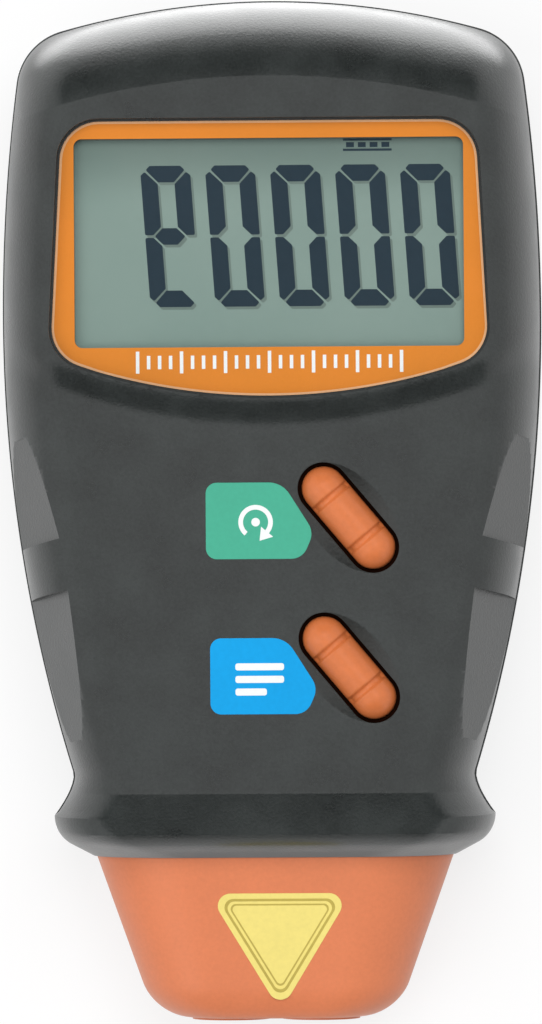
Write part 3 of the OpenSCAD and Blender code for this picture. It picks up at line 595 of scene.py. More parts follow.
def join(name, pieces):
    """One object of several, which don't touch."""
    points, faces = [], []
    for p in pieces:
        start = len(points)
        points += [tuple(v.co / MM) for v in p.data.vertices]
        faces += [[start + k for k in f.vertices] for f in p.data.polygons]
        bpy.data.objects.remove(p)
    return add_object(name, points, faces)


def inset(outline, d):
    """Closed outline moved inwards by d; the outline runs anticlockwise."""
    p = np.asarray(outline, float)
    u = np.roll(p, -1, 0) - p
    u /= np.linalg.norm(u, axis=1)[:, None]
    v = np.roll(u, 1, 0)
    normal = np.stack([-u[:, 1] - v[:, 1], u[:, 0] + v[:, 0]], 1)
    normal /= np.linalg.norm(normal, axis=1)[:, None]
    cosine = np.abs(normal[:, 0] * -u[:, 1] + normal[:, 1] * u[:, 0])
    return p + normal * (d / np.maximum(cosine, LEAST_COSINE))[:, None]


def prism(name, outline, low, high, chamfer=0.0):
    """Upright prism, with its top edge chamfered."""
    p = np.asarray(outline, float)
    if np.sum(p[:, 0] * np.roll(p[:, 1], -1) - np.roll(p[:, 0], -1) * p[:, 1]) < 0:
        p = p[::-1]
    rings = [(p, low), (p, high - chamfer)]
    if chamfer:
        rings.append((inset(p, chamfer), high))
    grid = np.stack([np.column_stack([q, np.full(len(q), z)]) for q, z in rings])
    return loft_rings(name, grid)


def along_y(name, section, y0, y1):
    """Prism along Y through a section drawn in x and z."""
    s = np.asarray(section, float)
    rings = [np.column_stack([s[:, 0], np.full(len(s), y), s[:, 1]]) for y in (y0, y1)]
    return loft_rings(name, np.stack(rings))


def box_piece(name, x0, x1, y0, y1, z0, z1):
    return prism(name, corners(x0, x1, y0, y1), z0, z1)


def rod_y(name, x, z, y0, y1, d):
    return along_y(name, circle(x, z, d, RING_ROUND), y0, y1)


# Outlines
def corners(x0, x1, y0, y1):
    return [(x0, y0), (x1, y0), (x1, y1), (x0, y1)]


def rectangle(x, y, w, h):
    """Corners of a rectangle, by its middle and its size."""
    return corners(x - w / 2, x + w / 2, y - h / 2, y + h / 2)


def circle(x, y, d, count=48):
    a = np.linspace(0, 2 * math.pi, count, endpoint=False)
    return np.stack([x + d / 2 * np.cos(a), y + d / 2 * np.sin(a)], 1)


def corner_arc(a, b, c, r, steps):
    """Arc of radius r in place of the corner b, between a and c."""
    u = (a - b) / np.linalg.norm(a - b)
    v = (c - b) / np.linalg.norm(c - b)
    half = math.acos(float(np.clip(u @ v, -1, 1))) / 2
    mid = b + (u + v) / np.linalg.norm(u + v) * r / math.sin(half)
    f = b + u * r / math.tan(half) - mid
    t = b + v * r / math.tan(half) - mid
    start = math.atan2(f[1], f[0])
    turn = math.atan2(f[0] * t[1] - f[1] * t[0], float(f @ t))
    angles = start + turn * np.linspace(0, 1, steps + 1)
    return mid + r * np.stack([np.cos(angles), np.sin(angles)], 1)


def round_outline(points, radii, steps=10):
    """Closed outline with each corner of some radius replaced by an arc."""
    p = [np.asarray(q, float) for q in points]
    out = []
    for k, r in enumerate(np.broadcast_to(radii, len(p))):
        if r > 0:
            out.extend(corner_arc(p[k - 1], p[k], p[(k + 1) % len(p)], r, steps))
        else:
            out.append(p[k])
    return np.array(out)


def bezel_outline(g, count=48):
    """Outline of the cover plate grown by g, with its bowed lower edge."""
    t = BEZEL_TOP_W / 2 + g
    l = BEZEL_LOW_W / 2 + g
    top = BEZEL_TOP_Y + g
    low = BEZEL_LOW_Y - g
    r = BEZEL_R + g
    x = np.linspace(l, -l, count + 1)[1:-1]
    edge = [(q, low - BEZEL_BOW + sag(BOW_R + g, q)) for q in x if abs(q) < l - r]
    ends = [(-l, low), (-t, top), (t, top), (l, low)]
    return round_outline(ends + edge, [r] * len(ends) + [0] * len(edge))


def window_outline():
    return round_outline(rectangle(0, WINDOW_MID_Y, WINDOW_W, WINDOW_H), WINDOW_R)


def at_button(points, y):
    """Points of a button's own frame, long axis along Y, moved to its place."""
    p = np.asarray(points, float)
    c, s = math.cos(BUTTON_TURN), math.sin(BUTTON_TURN)
    x = p[..., 0] * c - p[..., 1] * s + BUTTON_X
    yy = p[..., 0] * s + p[..., 1] * c + y
    return np.stack([x, yy] + [p[..., k] for k in range(2, p.shape[-1])], -1)


def stadium(grow, count=20):
    r = BUTTON_W / 2 + grow
    run = (BUTTON_LEN - BUTTON_W) / 2
    a = np.linspace(0, math.pi, count + 1)
    upper = np.stack([r * np.cos(a), run + r * np.sin(a)], 1)
    return np.vstack([upper, -upper])


def nose_ring(w, top, low, y, r, sides=16, flats=40):
    x, share = across(np.array([[w]]), r, sides, flats)
    x = x[0]
    upper = np.stack([x, np.full_like(x, y), SEAM_Z + (top - SEAM_Z) * share], 1)
    lower = np.stack([x, np.full_like(x, y), SEAM_Z + (low - SEAM_Z) * share], 1)
    return np.vstack([upper, lower[-2:0:-1]])


def joint_section(g):
    ring = nose_ring(MOUTH_W / 2 + g, MOUTH_TOP + g, MOUTH_LOW - g, 0, MOUTH_ROUND + g)
    return ring[:, [0, 2]]


def nose_at(y, i, j):
    """Ring of the nose at y, inset by i at the sides and by j above and below."""
    t = float(clamp01((JOINT_Y - y) / (JOINT_Y - TIP_FACE_Y)))
    w = mix(MOUTH_W, TIP_W, t) / 2 - i
    top = mix(MOUTH_TOP, SEAM_Z + TIP_H / 2, t) - j
    low = mix(MOUTH_LOW, SEAM_Z - TIP_H / 2, t) + j
    return nose_ring(w, top, low, y, MOUTH_ROUND * w / (MOUTH_W / 2))


def cover_section(g):
    inner = COVER_W / 2 + g
    outer = inner - COVER_BEVEL
    top = COVER_END_H + g
    return [(-outer, -WALL), (outer, -WALL), (outer, 0), (inner, WALL), (inner, top), (-inner, top),
            (-inner, WALL), (-outer, 0)]


def case_places():
    """Places of the four case screws."""
    low_y = CREST_Y + CASE_LOW_UP
    high_y = END_Y - CASE_HIGH_FROM_END
    low_x = float(outline_half(np.array(low_y), CASE_LOW_IN))
    high_x = float(outline_half(np.array(high_y), CASE_HIGH_IN))
    return [(s * x, y) for s in (-1, 1) for x, y in ((low_x, low_y), (high_x, high_y))]


# Cutting tools
def dish_tool(y):
    """Barrel laid along a button."""
    r = ((DISH_W / 2) ** 2 + DISH_DEPTH ** 2) / (2 * DISH_DEPTH)
    long_r = ((DISH_LEN / 2) ** 2 + DISH_DEPTH ** 2) / (2 * DISH_DEPTH)
    reach = DISH_LEN * DISH_REACH
    s = np.linspace(-reach, reach, DISH_STEPS + 1)
    rho = r - sag(long_r, s)
    a = np.linspace(0, 2 * math.pi, DISH_ROUND, endpoint=False)
    x = rho[:, None] * np.sin(a)
    z = FACE_Z + r - DISH_DEPTH - rho[:, None] * np.cos(a)
    grid = np.stack([x, np.broadcast_to(s[:, None], x.shape), z], -1)
    return loft_rings("dish", at_button(grid, y))


def skin_at(y, a):
    half = float(outline_half(np.array(y), SEAM_STEP))
    return np.array([half - SIDE_ROUND * (1 - math.cos(a)), y, SEAM_Z + (FACE_Z - SEAM_Z) * math.sin(a)])


def scoop_tool(side, wall_y, fade_y):
    """Block whose inner face leaves the side's round-over and sinks in towards the bridge."""
    a = skin_at(wall_y + SCOOP_SLANT / 2, SCOOP_TOP)
    b = skin_at(wall_y - SCOOP_SLANT / 2, SCOOP_LOW)
    c = skin_at(fade_y, SCOOP_MID)
    reach = (a - b) * SCOOP_REACH
    mid = (a + b) / 2
    n = np.cross(a - b, c - mid)
    n *= np.sign(n[0]) * SCOOP_OUT / np.linalg.norm(n)
    quad = np.array([mid + reach, mid - reach, c - reach, c + reach])
    points = np.vstack([quad, quad + n]) * [side, 1, 1]
    faces = [[0, 1, 2, 3], [7, 6, 5, 4], [0, 4, 5, 1], [1, 5, 6, 2], [2, 6, 7, 3], [3, 7, 4, 0]]
    return add_object("scoop", points, faces)


def mouth_tool():
    return along_y("mouth", joint_section(NOSE_LINE), JOINT_Y - OVER, CAVITY_Y + OVER)


# Materials
NOISE_DETAIL = 3.0
BLOTCH_DETAIL = 2.0
NOISE_ROUGH = 0.55
GRAIN_SHARE = 0.5
TINT_STOPS = (0.35, 0.65)
GLOSS_STOPS = (0.3, 0.7)
RELIEF_DEPTH = 2e-5
PLAIN_SPECULAR = 0.5
GLANCE_POWER = 4.0
GLANCE_MOST = 0.4
CLEAR_SMEAR = 60
CLEAR_BLOTCH = 40
CLEAR_ROUGH = (0.02, 0.06)
CLEAR_TINT = (0.97, 0.98, 0.98)
WHITE_TINT = (1, 1, 1)


def new_material(name):
    look = bpy.data.materials.new(name)
    look.use_nodes = True
    look.node_tree.nodes.clear()
    return look, look.node_tree


def grey(v):
    return (v, v, v, 1)


def add_node(tree, kind, inputs=None, operation=None):
    """Shader node, with each input linked to another node's output or set to a constant."""
    node = tree.nodes.new("ShaderNode" + kind)
    if operation:
        node.operation = operation
    for socket, value in (inputs or {}).items():
        if isinstance(value, bpy.types.NodeSocket):
            tree.links.new(value, node.inputs[socket])
        else:
            node.inputs[socket].default_value = value
    return node


def product(tree, a, b):
    return add_node(tree, "Math", {0: a, 1: b}, "MULTIPLY").outputs[0]


def noise(tree, coords, scale, detail=NOISE_DETAIL):
    inputs = {"Vector": coords, "Scale": scale, "Detail": detail, "Roughness": NOISE_ROUGH}
    return add_node(tree, "TexNoise", inputs).outputs["Fac"]


def tinted(tree, factor, low, high):
    node = add_node(tree, "ValToRGB", {"Fac": factor})
    for stop, place, colour in zip(node.color_ramp.elements, TINT_STOPS, (low, high)):
        stop.position = place
        stop.color = (*colour, 1)
    return node.outputs["Color"]


def span(tree, factor, ends, stops):
    """Node whose value goes from one end to the other as the factor goes from stop to stop."""
    inputs = {"Value": factor, "From Min": stops[0], "From Max": stops[1],
              "To Min": ends[0], "To Max": ends[1]}
    return add_node(tree, "MapRange", inputs)


def painted_shade_along(tree, coords, tint, axis, start, stop, share):
    """Painted shade: colour that falls to a share of itself between two places on an axis, and what is left
    there.
    """
    split = add_node(tree, "SeparateXYZ", {"Vector": coords})
    place = span(tree, split.outputs[axis], (1.0, share), (start * MM, stop * MM))
    place.interpolation_type = "SMOOTHSTEP"
    left = place.outputs["Result"]
    darker = add_node(tree, "VectorMath", {"Vector": tint, "Scale": left}, "SCALE")
    return darker.outputs["Vector"], left


def moulded(name, colour, spread, grain, blotch, rough, bump, depth=RELIEF_DEPTH, painted_shade=None, **sockets):
    """Moulded or painted surface: fine grain, faint blotches, an uneven gloss and perhaps painted shade
    along an axis.
    """
    look, tree = new_material(name)
    coords = add_node(tree, "TexCoord").outputs["Object"]
    fine = noise(tree, coords, grain)
    broad = noise(tree, coords, blotch, BLOTCH_DETAIL)
    blotches = product(tree, broad, 1 - GRAIN_SHARE)
    both = add_node(tree, "Math", {0: fine, 1: GRAIN_SHARE, 2: blotches}, "MULTIPLY_ADD").outputs[0]
    tint = tinted(tree, both, [c * (1 - spread) for c in colour], [c * (1 + spread) for c in colour])
    inputs = {socket.replace("_", " "): value for socket, value in sockets.items()}
    # Painted shade darkens the colour and dims the specular along an axis
    if painted_shade:
        tint, left = painted_shade_along(tree, coords, tint, *painted_shade)
        inputs["Specular IOR Level"] = product(tree, left, inputs.get("Specular IOR Level", PLAIN_SPECULAR))
    if bump:
        relief = {"Strength": bump, "Distance": depth, "Height": fine}
        inputs["Normal"] = add_node(tree, "Bump", relief).outputs["Normal"]
    inputs["Base Color"] = tint
    inputs["Roughness"] = span(tree, broad, rough, GLOSS_STOPS).outputs["Result"]
    shader = add_node(tree, "BsdfPrincipled", inputs)
    add_node(tree, "OutputMaterial", {"Surface": shader.outputs["BSDF"]})
    return look


def clear_cover_look():
    """Clear plate that shows what is below it and mirrors more at a slant."""
    look, tree = new_material("clear_cover")
    coords = add_node(tree, "TexCoord").outputs["Object"]
    rough = span(tree, noise(tree, coords, CLEAR_SMEAR), CLEAR_ROUGH, GLOSS_STOPS).outputs["Result"]
    tint = tinted(tree, noise(tree, coords, CLEAR_BLOTCH), CLEAR_TINT, WHITE_TINT)
    facing = add_node(tree, "LayerWeight").outputs["Facing"]
    slant = add_node(tree, "Math", {0: facing, 1: GLANCE_POWER}, "POWER").outputs[0]
    through = add_node(tree, "BsdfTransparent", {"Color": tint}).outputs["BSDF"]
    gloss = add_node(tree, "BsdfGlossy", {"Roughness": rough}).outputs["BSDF"]
    share = product(tree, slant, GLANCE_MOST)
    mixer = add_node(tree, "MixShader", {"Fac": share, 1: through, 2: gloss})
    add_node(tree, "OutputMaterial", {"Surface": mixer.outputs["Shader"]})
    return look


# Painted shade: axis, where the darkening starts and ends in millimetres, and what is left of the colour
# Painted shade: the key's flanks turn nearly black down in its slot
KEY_SLOT_SHADE = ("Z", RIM_TOP + 0.8, RIM_TOP + 0.1, 0.03)
# Painted shade: the display glass grows darker towards its top, under the border
LCD_TOP_SHADE = ("Y", 38.0, 47.5, 0.68)
CHARCOAL = moulded("charcoal_plastic", (0.0215, 0.0252, 0.0245), spread=0.3, grain=2800, blotch=160,
                   rough=(0.27, 0.34), bump=0.6, depth=6e-5, Specular_IOR_Level=0.66)
ORANGE = moulded("orange_plastic", (0.66, 0.195, 0.082), spread=0.05, grain=1800, blotch=90,
                 rough=(0.38, 0.46), bump=0.1)
BUTTON = moulded("button_plastic", (0.62, 0.168, 0.05), spread=0.06, grain=1500, blotch=160,
                 rough=(0.28, 0.36), bump=0.12, painted_shade=KEY_SLOT_SHADE)
FILM = moulded("border_film", (0.68, 0.213, 0.0194), spread=0.02, grain=2000, blotch=120,
               rough=(0.45, 0.55), bump=0.0)
# Painted highlight: paler orange for the line along the border's outer edge
PAINTED_EDGE_HIGHLIGHT = moulded("border_edge_highlight", (0.76, 0.42, 0.22), spread=0.05, grain=2000, blotch=120,
               rough=(0.4, 0.5), bump=0.05)
CLEAR = clear_cover_look()
LCD = moulded("lcd_glass", (0.203, 0.276, 0.247), spread=0.015, grain=900, blotch=45,
              rough=(0.35, 0.45), bump=0.0, painted_shade=LCD_TOP_SHADE, Specular_IOR_Level=0.2)
SEGMENT = moulded("lcd_segments", (0.018, 0.033, 0.046), spread=0.04, grain=900, blotch=200,
                  rough=(0.4, 0.5), bump=0.0, Specular_IOR_Level=0.2)
# Painted shadow of the digits: a darker tone of the display
PAINTED_DIGIT_SHADOW = moulded("lcd_shadow", (0.135, 0.180, 0.161), spread=0.05, grain=900, blotch=60,
                rough=(0.4, 0.5), bump=0.0, Specular_IOR_Level=0.2)
GREEN = moulded("green_label", (0.055, 0.375, 0.25), spread=0.04, grain=1600, blotch=140,
                rough=(0.4, 0.5), bump=0.05)
BLUE = moulded("blue_label", (0.008, 0.32, 0.695), spread=0.04, grain=1600, blotch=140,
               rough=(0.4, 0.5), bump=0.05, Specular_IOR_Level=0.15)
WHITE = moulded("white_print", (0.80, 0.82, 0.82), spread=0.03, grain=1600, blotch=140,
                rough=(0.45, 0.55), bump=0.05)
YELLOW = moulded("yellow_label", (0.79, 0.66, 0.185), spread=0.04, grain=1600, blotch=120,
                 rough=(0.38, 0.46), bump=0.05)
YELLOW_LINE = moulded("yellow_line", (0.46, 0.36, 0.07), spread=0.06, grain=1600, blotch=120,
                      rough=(0.4, 0.5), bump=0.05)
BLACK = moulded("black_plastic", (0.022, 0.022, 0.023), spread=0.15, grain=2000, blotch=120,
                rough=(0.4, 0.5), bump=0.1)
RUBBER = moulded("contact_rubber", (0.50, 0.24, 0.26), spread=0.12, grain=3000, blotch=200,
                 rough=(0.6, 0.7), bump=0.2)
BOARD = moulded("circuit_board", (0.02, 0.13, 0.05), spread=0.2, grain=1400, blotch=260,
                rough=(0.32, 0.42), bump=0.15)
STEEL = moulded("steel", (0.50, 0.50, 0.52), spread=0.12, grain=1800, blotch=300,
                rough=(0.26, 0.38), bump=0.1, Metallic=1.0)
BRASS = moulded("brass", (0.62, 0.44, 0.18), spread=0.12, grain=1800, blotch=300,
                rough=(0.24, 0.36), bump=0.1, Metallic=1.0)
OPTIC = moulded("optic_glass", (0.030, 0.012, 0.014), spread=0.2, grain=600, blotch=90,
                rough=(0.03, 0.06), bump=0.0, Coat_Weight=0.6)
JACKET = moulded("battery_jacket", (0.06, 0.062, 0.07), spread=0.12, grain=1500, blotch=130,
                 rough=(0.3, 0.4), bump=0.08)
SLEEVE = moulded("lead_sleeve", (0.30, 0.03, 0.025), spread=0.12, grain=1800, blotch=150,
                 rough=(0.4, 0.5), bump=0.08)
CABLE = moulded("cable_film", (0.50, 0.50, 0.47), spread=0.1, grain=2500, blotch=180,
                rough=(0.4, 0.5), bump=0.1)
CARD = moulded("studio_card", (0.02, 0.02, 0.02), spread=0.1, grain=40, blotch=4,
               rough=(0.8, 0.9), bump=0.0, Specular_IOR_Level=0.0)

NODE_LOOKS = {
    "lcd_frame": BLACK, "contact_strips": RUBBER, "main_board": BOARD, "microcontroller": BLACK,
    "crystal": STEEL, "test_plunger": BLACK, "test_switch": STEEL, "memory_plunger": BLACK,
    "memory_switch": STEEL, "laser_window": OPTIC, "receiver_lens": OPTIC, "laser_module": BRASS,
    "photodiode": BLACK, "optics_carrier": BLACK, "sensor_board": BOARD, "ribbon_cable": CABLE,
    "battery": JACKET, "battery_snap": BLACK, "battery_leads": SLEEVE, "case_screws": STEEL,
    "board_screws": STEEL,
}


def dress_nodes():
    """Looks of the solids that are shown as they are."""
    for name, look in NODE_LOOKS.items():
        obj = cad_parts[name]
        obj.data.materials.clear()
        obj.data.materials.append(look)


# Front of the housing
def front_skin():
    s = SEAM_SEEN
    case = loft_rows("front_case", front_grid(outer_rows(ROW_STEP, s, CORNER_STEPS), s, SEAM_Z + SEAM_GAP))
    i = WALL + SEAM_STEP
    hollow = front_grid(cavity_rows(step=3.0, i=i, steps=12), i, SEAM_Z - OVER, sides=8, flats=16)
    return combine(case, loft_rows("hollow", hollow))


def add_front_seats(case):
    """Ledge under the cover plate, and bosses for the case screws."""
    x = BEZEL_TOP_W / 2
    low_y = BEZEL_LOW_Y - BEZEL_BOW - LEDGE_PAST
    high_y = BEZEL_TOP_Y + LEDGE_PAST
    combine(case, box_piece("ledge", -x, x, low_y, high_y, LEDGE_Z, FILM_Z + LEDGE_OVERLAP), "UNION")
    for x, y in case_places():
        top = FACE_Z - WALL - (CASE_HIGH_DROP if y > 0 else 0)
        combine(case, prism("boss", circle(x, y, CASE_BOSS_D), SEAM_Z + SEAM_GAP, top), "UNION")


def cut_front(case):
    """Nose mouth, finger scoops, key dishes and slots, display recess and window."""
    combine(case, mouth_tool())
    low_bridge_y = BRIDGE_Y - BRIDGE_LEN
    for side in (-1, 1):
        combine(case, scoop_tool(side, BRIDGE_Y, BRIDGE_Y + UPPER_SCOOP))
        combine(case, scoop_tool(side, low_bridge_y, low_bridge_y - LOWER_SCOOP))
    for y in (TEST_Y, MEMORY_Y):
        combine(case, dish_tool(y))
        combine(case, prism("slot", at_button(stadium(BUTTON_LINE), y), BOARD_TOP, TOP_Z + OVER))
    combine(case, prism("recess", bezel_outline(BEZEL_LINE), FILM_Z, TOP_Z + OVER))
    combine(case, prism("window", window_outline(), BOARD_TOP, TOP_Z + OVER))


def front_case():
    case = front_skin()
    add_front_seats(case)
    cut_front(case)
    finish_piece(case, "housing", CHARCOAL, ["front_shell"])


# Back of the housing and battery cover
def rear_skin(name):
    skin = loft_rows(name, rear_grid(outer_rows(BACK_ROW_STEP, 0, CORNER_STEPS), 0, SEAM_Z))
    hollow = rear_grid(cavity_rows(step=2.0, i=WALL, steps=16), WALL, SEAM_Z + OVER, sides=10, flats=20)
    return combine(skin, loft_rows("hollow", hollow))


def add_bay(case):
    """Sides, roof and end of the battery bay."""
    low_y = BAY_Y0 - BAY_WALL
    roof_top = ROOF_Z + ROOF_T
    for s in (-1, 1):
        x0, x1 = sorted([s * BAY_HALF, s * (BAY_HALF + BAY_WALL)])
        combine(case, box_piece("bay_side", x0, x1, low_y, BAY_Y1, WALL / 2, roof_top), "UNION")
    x = BAY_HALF + BAY_WALL / 2
    combine(case, box_piece("bay_roof", -x, x, low_y, BAY_Y1, ROOF_Z, roof_top), "UNION")
    combine(case, box_piece("bay_end", -x, x, low_y, BAY_Y0, WALL / 2, ROOF_Z + ROOF_T / 2), "UNION")


def rear_case():
    case = rear_skin("rear_case")
    add_bay(case)
    for x, y in case_places():
        combine(case, prism("boss", circle(x, y, HEAD_D + 2 * HEAD_WALL), WALL / 2, SEAM_Z), "UNION")
    combine(case, along_y("opening", cover_section(SLIDE_GAP), COVER_Y0, END_Y + WALL))
    x = TAB_W / 2 + SLIDE_GAP
    slot_y = COVER_Y0 - TAB_SLOT_OUT
    combine(case, box_piece("tab_slot", -x, x, slot_y, COVER_Y0 + WALL, TAB_SLOT_LOW, TAB_SLOT_HIGH))
    combine(case, mouth_tool())
    for x, y in case_places():
        combine(case, prism("counterbore", circle(x, y, HEAD_D + 2 * HEAD_GAP), -WALL, HEAD_Z))
        combine(case, prism("bore", circle(x, y, SCREW_D), WALL, SEAM_Z + WALL))
    finish_piece(case, "housing", CHARCOAL, ["rear_shell"])


def grip_tool(y):
    """Rod that lies across the cover."""
    rod = along_y("groove", circle(0, 0, GRIP_D, GRIP_ROUND), -GRIP_W / 2, GRIP_W / 2)
    place = Matrix.Translation((0, y * MM, COVER_LIFT * MM))
    rod.data.transform(place @ Matrix.Rotation(math.pi / 2, 4, "Z"))
    return rod


def battery_cover():
    cover = rear_skin("sliding_cover")
    keep = along_y("keep", cover_section(0), COVER_Y0 + SLIDE_GAP, END_Y + WALL)
    combine(cover, keep, "INTERSECT")
    combine(cover, box_piece("lift", -HALF_W, HALF_W, JOINT_Y, END_Y + WALL, -WALL, COVER_LIFT))
    x = TAB_W / 2
    tab = box_piece("tab", -x, x, COVER_Y0 - TAB_OUT, COVER_Y0 + TAB_ROOT, WALL / 2, WALL)
    combine(cover, tab, "UNION")
    for k in range(GRIP_N):
        combine(cover, grip_tool(END_Y - GRIP_FROM_END - k * GRIP_PITCH))
    finish_piece(cover, "battery_cover", CHARCOAL, ["battery_cover"])


# Nose
def nose_outside():
    """Round edge of the tip, the taper, and a straight end behind the joint."""
    rings = []
    for a in np.linspace(math.pi / 2, 0, TIP_STEPS + 1):
        turned = 1 - math.cos(a)
        rings.append(nose_at(TIP_FACE_Y + TIP_R * (1 - math.sin(a)), TIP_R * turned, TIP_EDGE * turned))
    taper = np.linspace(TIP_FACE_Y + TIP_R, JOINT_Y, NOSE_STEPS + 1)
    rings += [nose_at(y, 0, 0) for y in taper[1:]]
    rings.append(nose_at(FLANGE_END_Y, 0, 0))
    return loft_rings("nose_case", np.stack(rings))


def nose_hollow():
    taper = np.linspace(TIP_INNER_Y + TIP_R - NOSE_WALL, JOINT_Y, NOSE_HOLLOW_STEPS + 1)
    rings = [nose_at(TIP_INNER_Y, TIP_R, TIP_EDGE)]
    rings += [nose_at(y, NOSE_WALL, NOSE_WALL) for y in [*taper, FLANGE_END_Y + OVER]]
    return loft_rings("hollow", np.stack(rings))


def nose_flange():
    flange = along_y("flange", joint_section(FLANGE_OUT), FLANGE_Y, FLANGE_END_Y)
    trim = box_piece("trim", -HALF_W, HALF_W, FLANGE_Y - OVER, FLANGE_END_Y + OVER, -OVER, WALL + FIT)
    return combine(flange, trim)


def nose():
    """Nose cap, left out of reflections with its optics so that the collar's lip mirrors the floor."""
    cap = nose_outside()
    combine(cap, nose_flange(), "UNION")
    for x in (-OPTICS_X, OPTICS_X):
        combine(cap, rod_y("ring", x, SEAM_Z, TIP_Y, TIP_INNER_Y, RING_D), "UNION")
    combine(cap, nose_hollow())
    for x in (-OPTICS_X, OPTICS_X):
        combine(cap, rod_y("seat", x, SEAM_Z, TIP_Y - OVER, SEAT_Y, OPTIC_D + 2 * FIT))
        combine(cap, rod_y("light", x, SEAM_Z, TIP_Y, TIP_INNER_Y + OVER, LIGHT_D))
    for obj in [cap, *(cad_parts[node] for node in OPTICS)]:
        obj.visible_glossy = False
    finish_piece(cap, "housing", ORANGE, ["nose_cap"])


# Keys
def key_rows():
    """Places along a key, its half width there and the depth of its grooves."""
    r = BUTTON_W / 2
    run = BUTTON_LEN / 2 - r
    t = np.linspace(BUTTON_END_TURN, 0, KEY_END_STEPS + 1)
    straight = np.linspace(-run, run, KEY_STEPS + 1)[1:-1]
    s = np.concatenate([-run - r * np.sin(t), straight, run + r * np.sin(t[::-1])])
    half = np.concatenate([r * np.cos(t), np.full(len(straight), r), r * np.cos(t[::-1])])
    from_groove = np.abs(np.abs(s) - GROOVE_AT) / (GROOVE_W / 2)
    return s, half, GROOVE_DEPTH * np.exp(-from_groove ** GROOVE_POWER)


def key_shape(name, y):
    """Capsule with straight flanks below."""
    s, half, sunk = key_rows()
    a = np.linspace(0, math.pi, KEY_ROUND + 1)
    top = half[:, None] - sunk[:, None] * clamp01(GROOVE_FADE * np.sin(a))
    arc = np.stack([top * np.cos(a), np.broadcast_to(s[:, None], top.shape), CAP_Z + top * np.sin(a)], -1)
    left = np.stack([-half, s, np.full_like(s, RIM_Z)], -1)
    right = np.stack([half, s, np.full_like(s, RIM_Z)], -1)
    grid = np.concatenate([arc, left[:, None], right[:, None]], 1)
    return loft_rings(name, at_button(grid, y))


def key(name, body, node, y):
    """Key with two shallow grooves, on a rim that the front case holds in, with a pocket for its switch."""
    cap = key_shape(name, y)
    combine(cap, prism("rim", at_button(stadium(RIM_OUT), y), RIM_Z + RIM_STEP, RIM_TOP), "UNION")
    pocket = at_button(rectangle(0, 0, POCKET_W, POCKET_LEN), y)
    combine(cap, prism("pocket", pocket, BOARD_TOP, RIM_TOP))
    finish_piece(cap, body, BUTTON, [node], KEY_SHARP_TURN)


# Display
def display():
    lens = prism("cover_plate", bezel_outline(0), LENS_Z + 2 * PRINT_T, LENS_TOP, LENS_EDGE)
    finish_piece(lens, "housing", CLEAR, ["display_lens"])
    film = prism("border", bezel_outline(0), FILM_Z, LENS_Z)
    combine(film, prism("hole", window_outline(), FILM_Z - OVER, LENS_Z + OVER))
    finish_piece(film, "housing", FILM, ["lens_border"])
    # Painted highlight: a pale ring along the border's outer edge
    edge = prism("border_edge_highlight", bezel_outline(0), LENS_Z, LENS_Z + PRINT_T)
    combine(edge, prism("hole", bezel_outline(-HIGHLIGHT_W), FILM_Z, LENS_Z + OVER))
    finish_piece(edge, "housing", PAINTED_EDGE_HIGHLIGHT)
    outline = round_outline(rectangle(0, WINDOW_MID_Y, LCD_W, LCD_H), LCD_R, PRINT_CORNER_STEPS)
    glass = prism("display_glass", outline, LCD_Z, LCD_TOP, LCD_EDGE)
    finish_piece(glass, "housing", LCD, ["lcd_panel"])


def flipped(outline, x=1, y=1):
    return [(x * p, y * q) for p, q in outline]


def segment_outlines():
    """Outlines of the seven segments of one digit, centred on the digit."""
    w, h, t, g, c = DIGIT_W / 2, DIGIT_H / 2, SEGMENT_T, SEGMENT_GAP, SEGMENT_CUT
    near, far = MITRE_IN * g, MITRE_OUT * g
    top = [(-w + c + g, h), (w - c - g, h), (w - g - c / 2, h - c / 2),
           (w - t - near, h - t), (-w + t + near, h - t), (-w + g + c / 2, h - c / 2)]
    side = [(w, h - c - g), (w, g), (w - t / 2, g),
            (w - t, t / 2 + g), (w - t, h - t - far), (w - c / 2, h - c / 2 - far)]
    middle = [(-w + t / 2 + g, 0), (-w + t + g, t / 2), (w - t - g, t / 2),
              (w - t / 2 - g, 0), (w - t - g, -t / 2), (-w + t + g, -t / 2)]
    return {"a": top, "b": side, "c": flipped(side, x=-1), "d": flipped(side, y=-1),
            "e": flipped(side, x=-1, y=-1), "f": flipped(top, y=-1), "g": middle}


def digits(name, thick, shift, look):
    """All digits as thin raised segments, shifted from their place."""
    shapes = segment_outlines()
    made = []
    for k, lit in enumerate(LIT):
        mid_x = DIGIT_FIRST_X + k * DIGIT_PITCH + shift[0]
        mid_y = DIGIT_MID_Y + shift[1]
        for letter in lit:
            outline = [(x - y * DIGIT_LEAN + mid_x, y + mid_y) for x, y in shapes[letter]]
            rounded = round_outline(outline, SEGMENT_R, PRINT_CORNER_STEPS)
            made.append(prism("segment", rounded, LCD_TOP, LCD_TOP + thick))
    finish_piece(join(name, made), "housing", look)


def level_mark():
    """Two lines with bars between them."""
    shapes = [rectangle(LEVEL_X, LEVEL_Y + s * LEVEL_H / 2, LEVEL_W, LEVEL_LINE) for s in (-1, 1)]
    first_x = LEVEL_X - LEVEL_W / 2 + LEVEL_BAR_IN + LEVEL_BAR_W / 2
    for k in range(LEVEL_BARS):
        shapes.append(rectangle(first_x + k * LEVEL_BAR_PITCH, LEVEL_Y, LEVEL_BAR_W, LEVEL_BAR_H))
    bars = [prism("bar", shape, LCD_TOP, LCD_TOP + PRINT_T) for shape in shapes]
    finish_piece(join("level_mark", bars), "housing", SEGMENT)


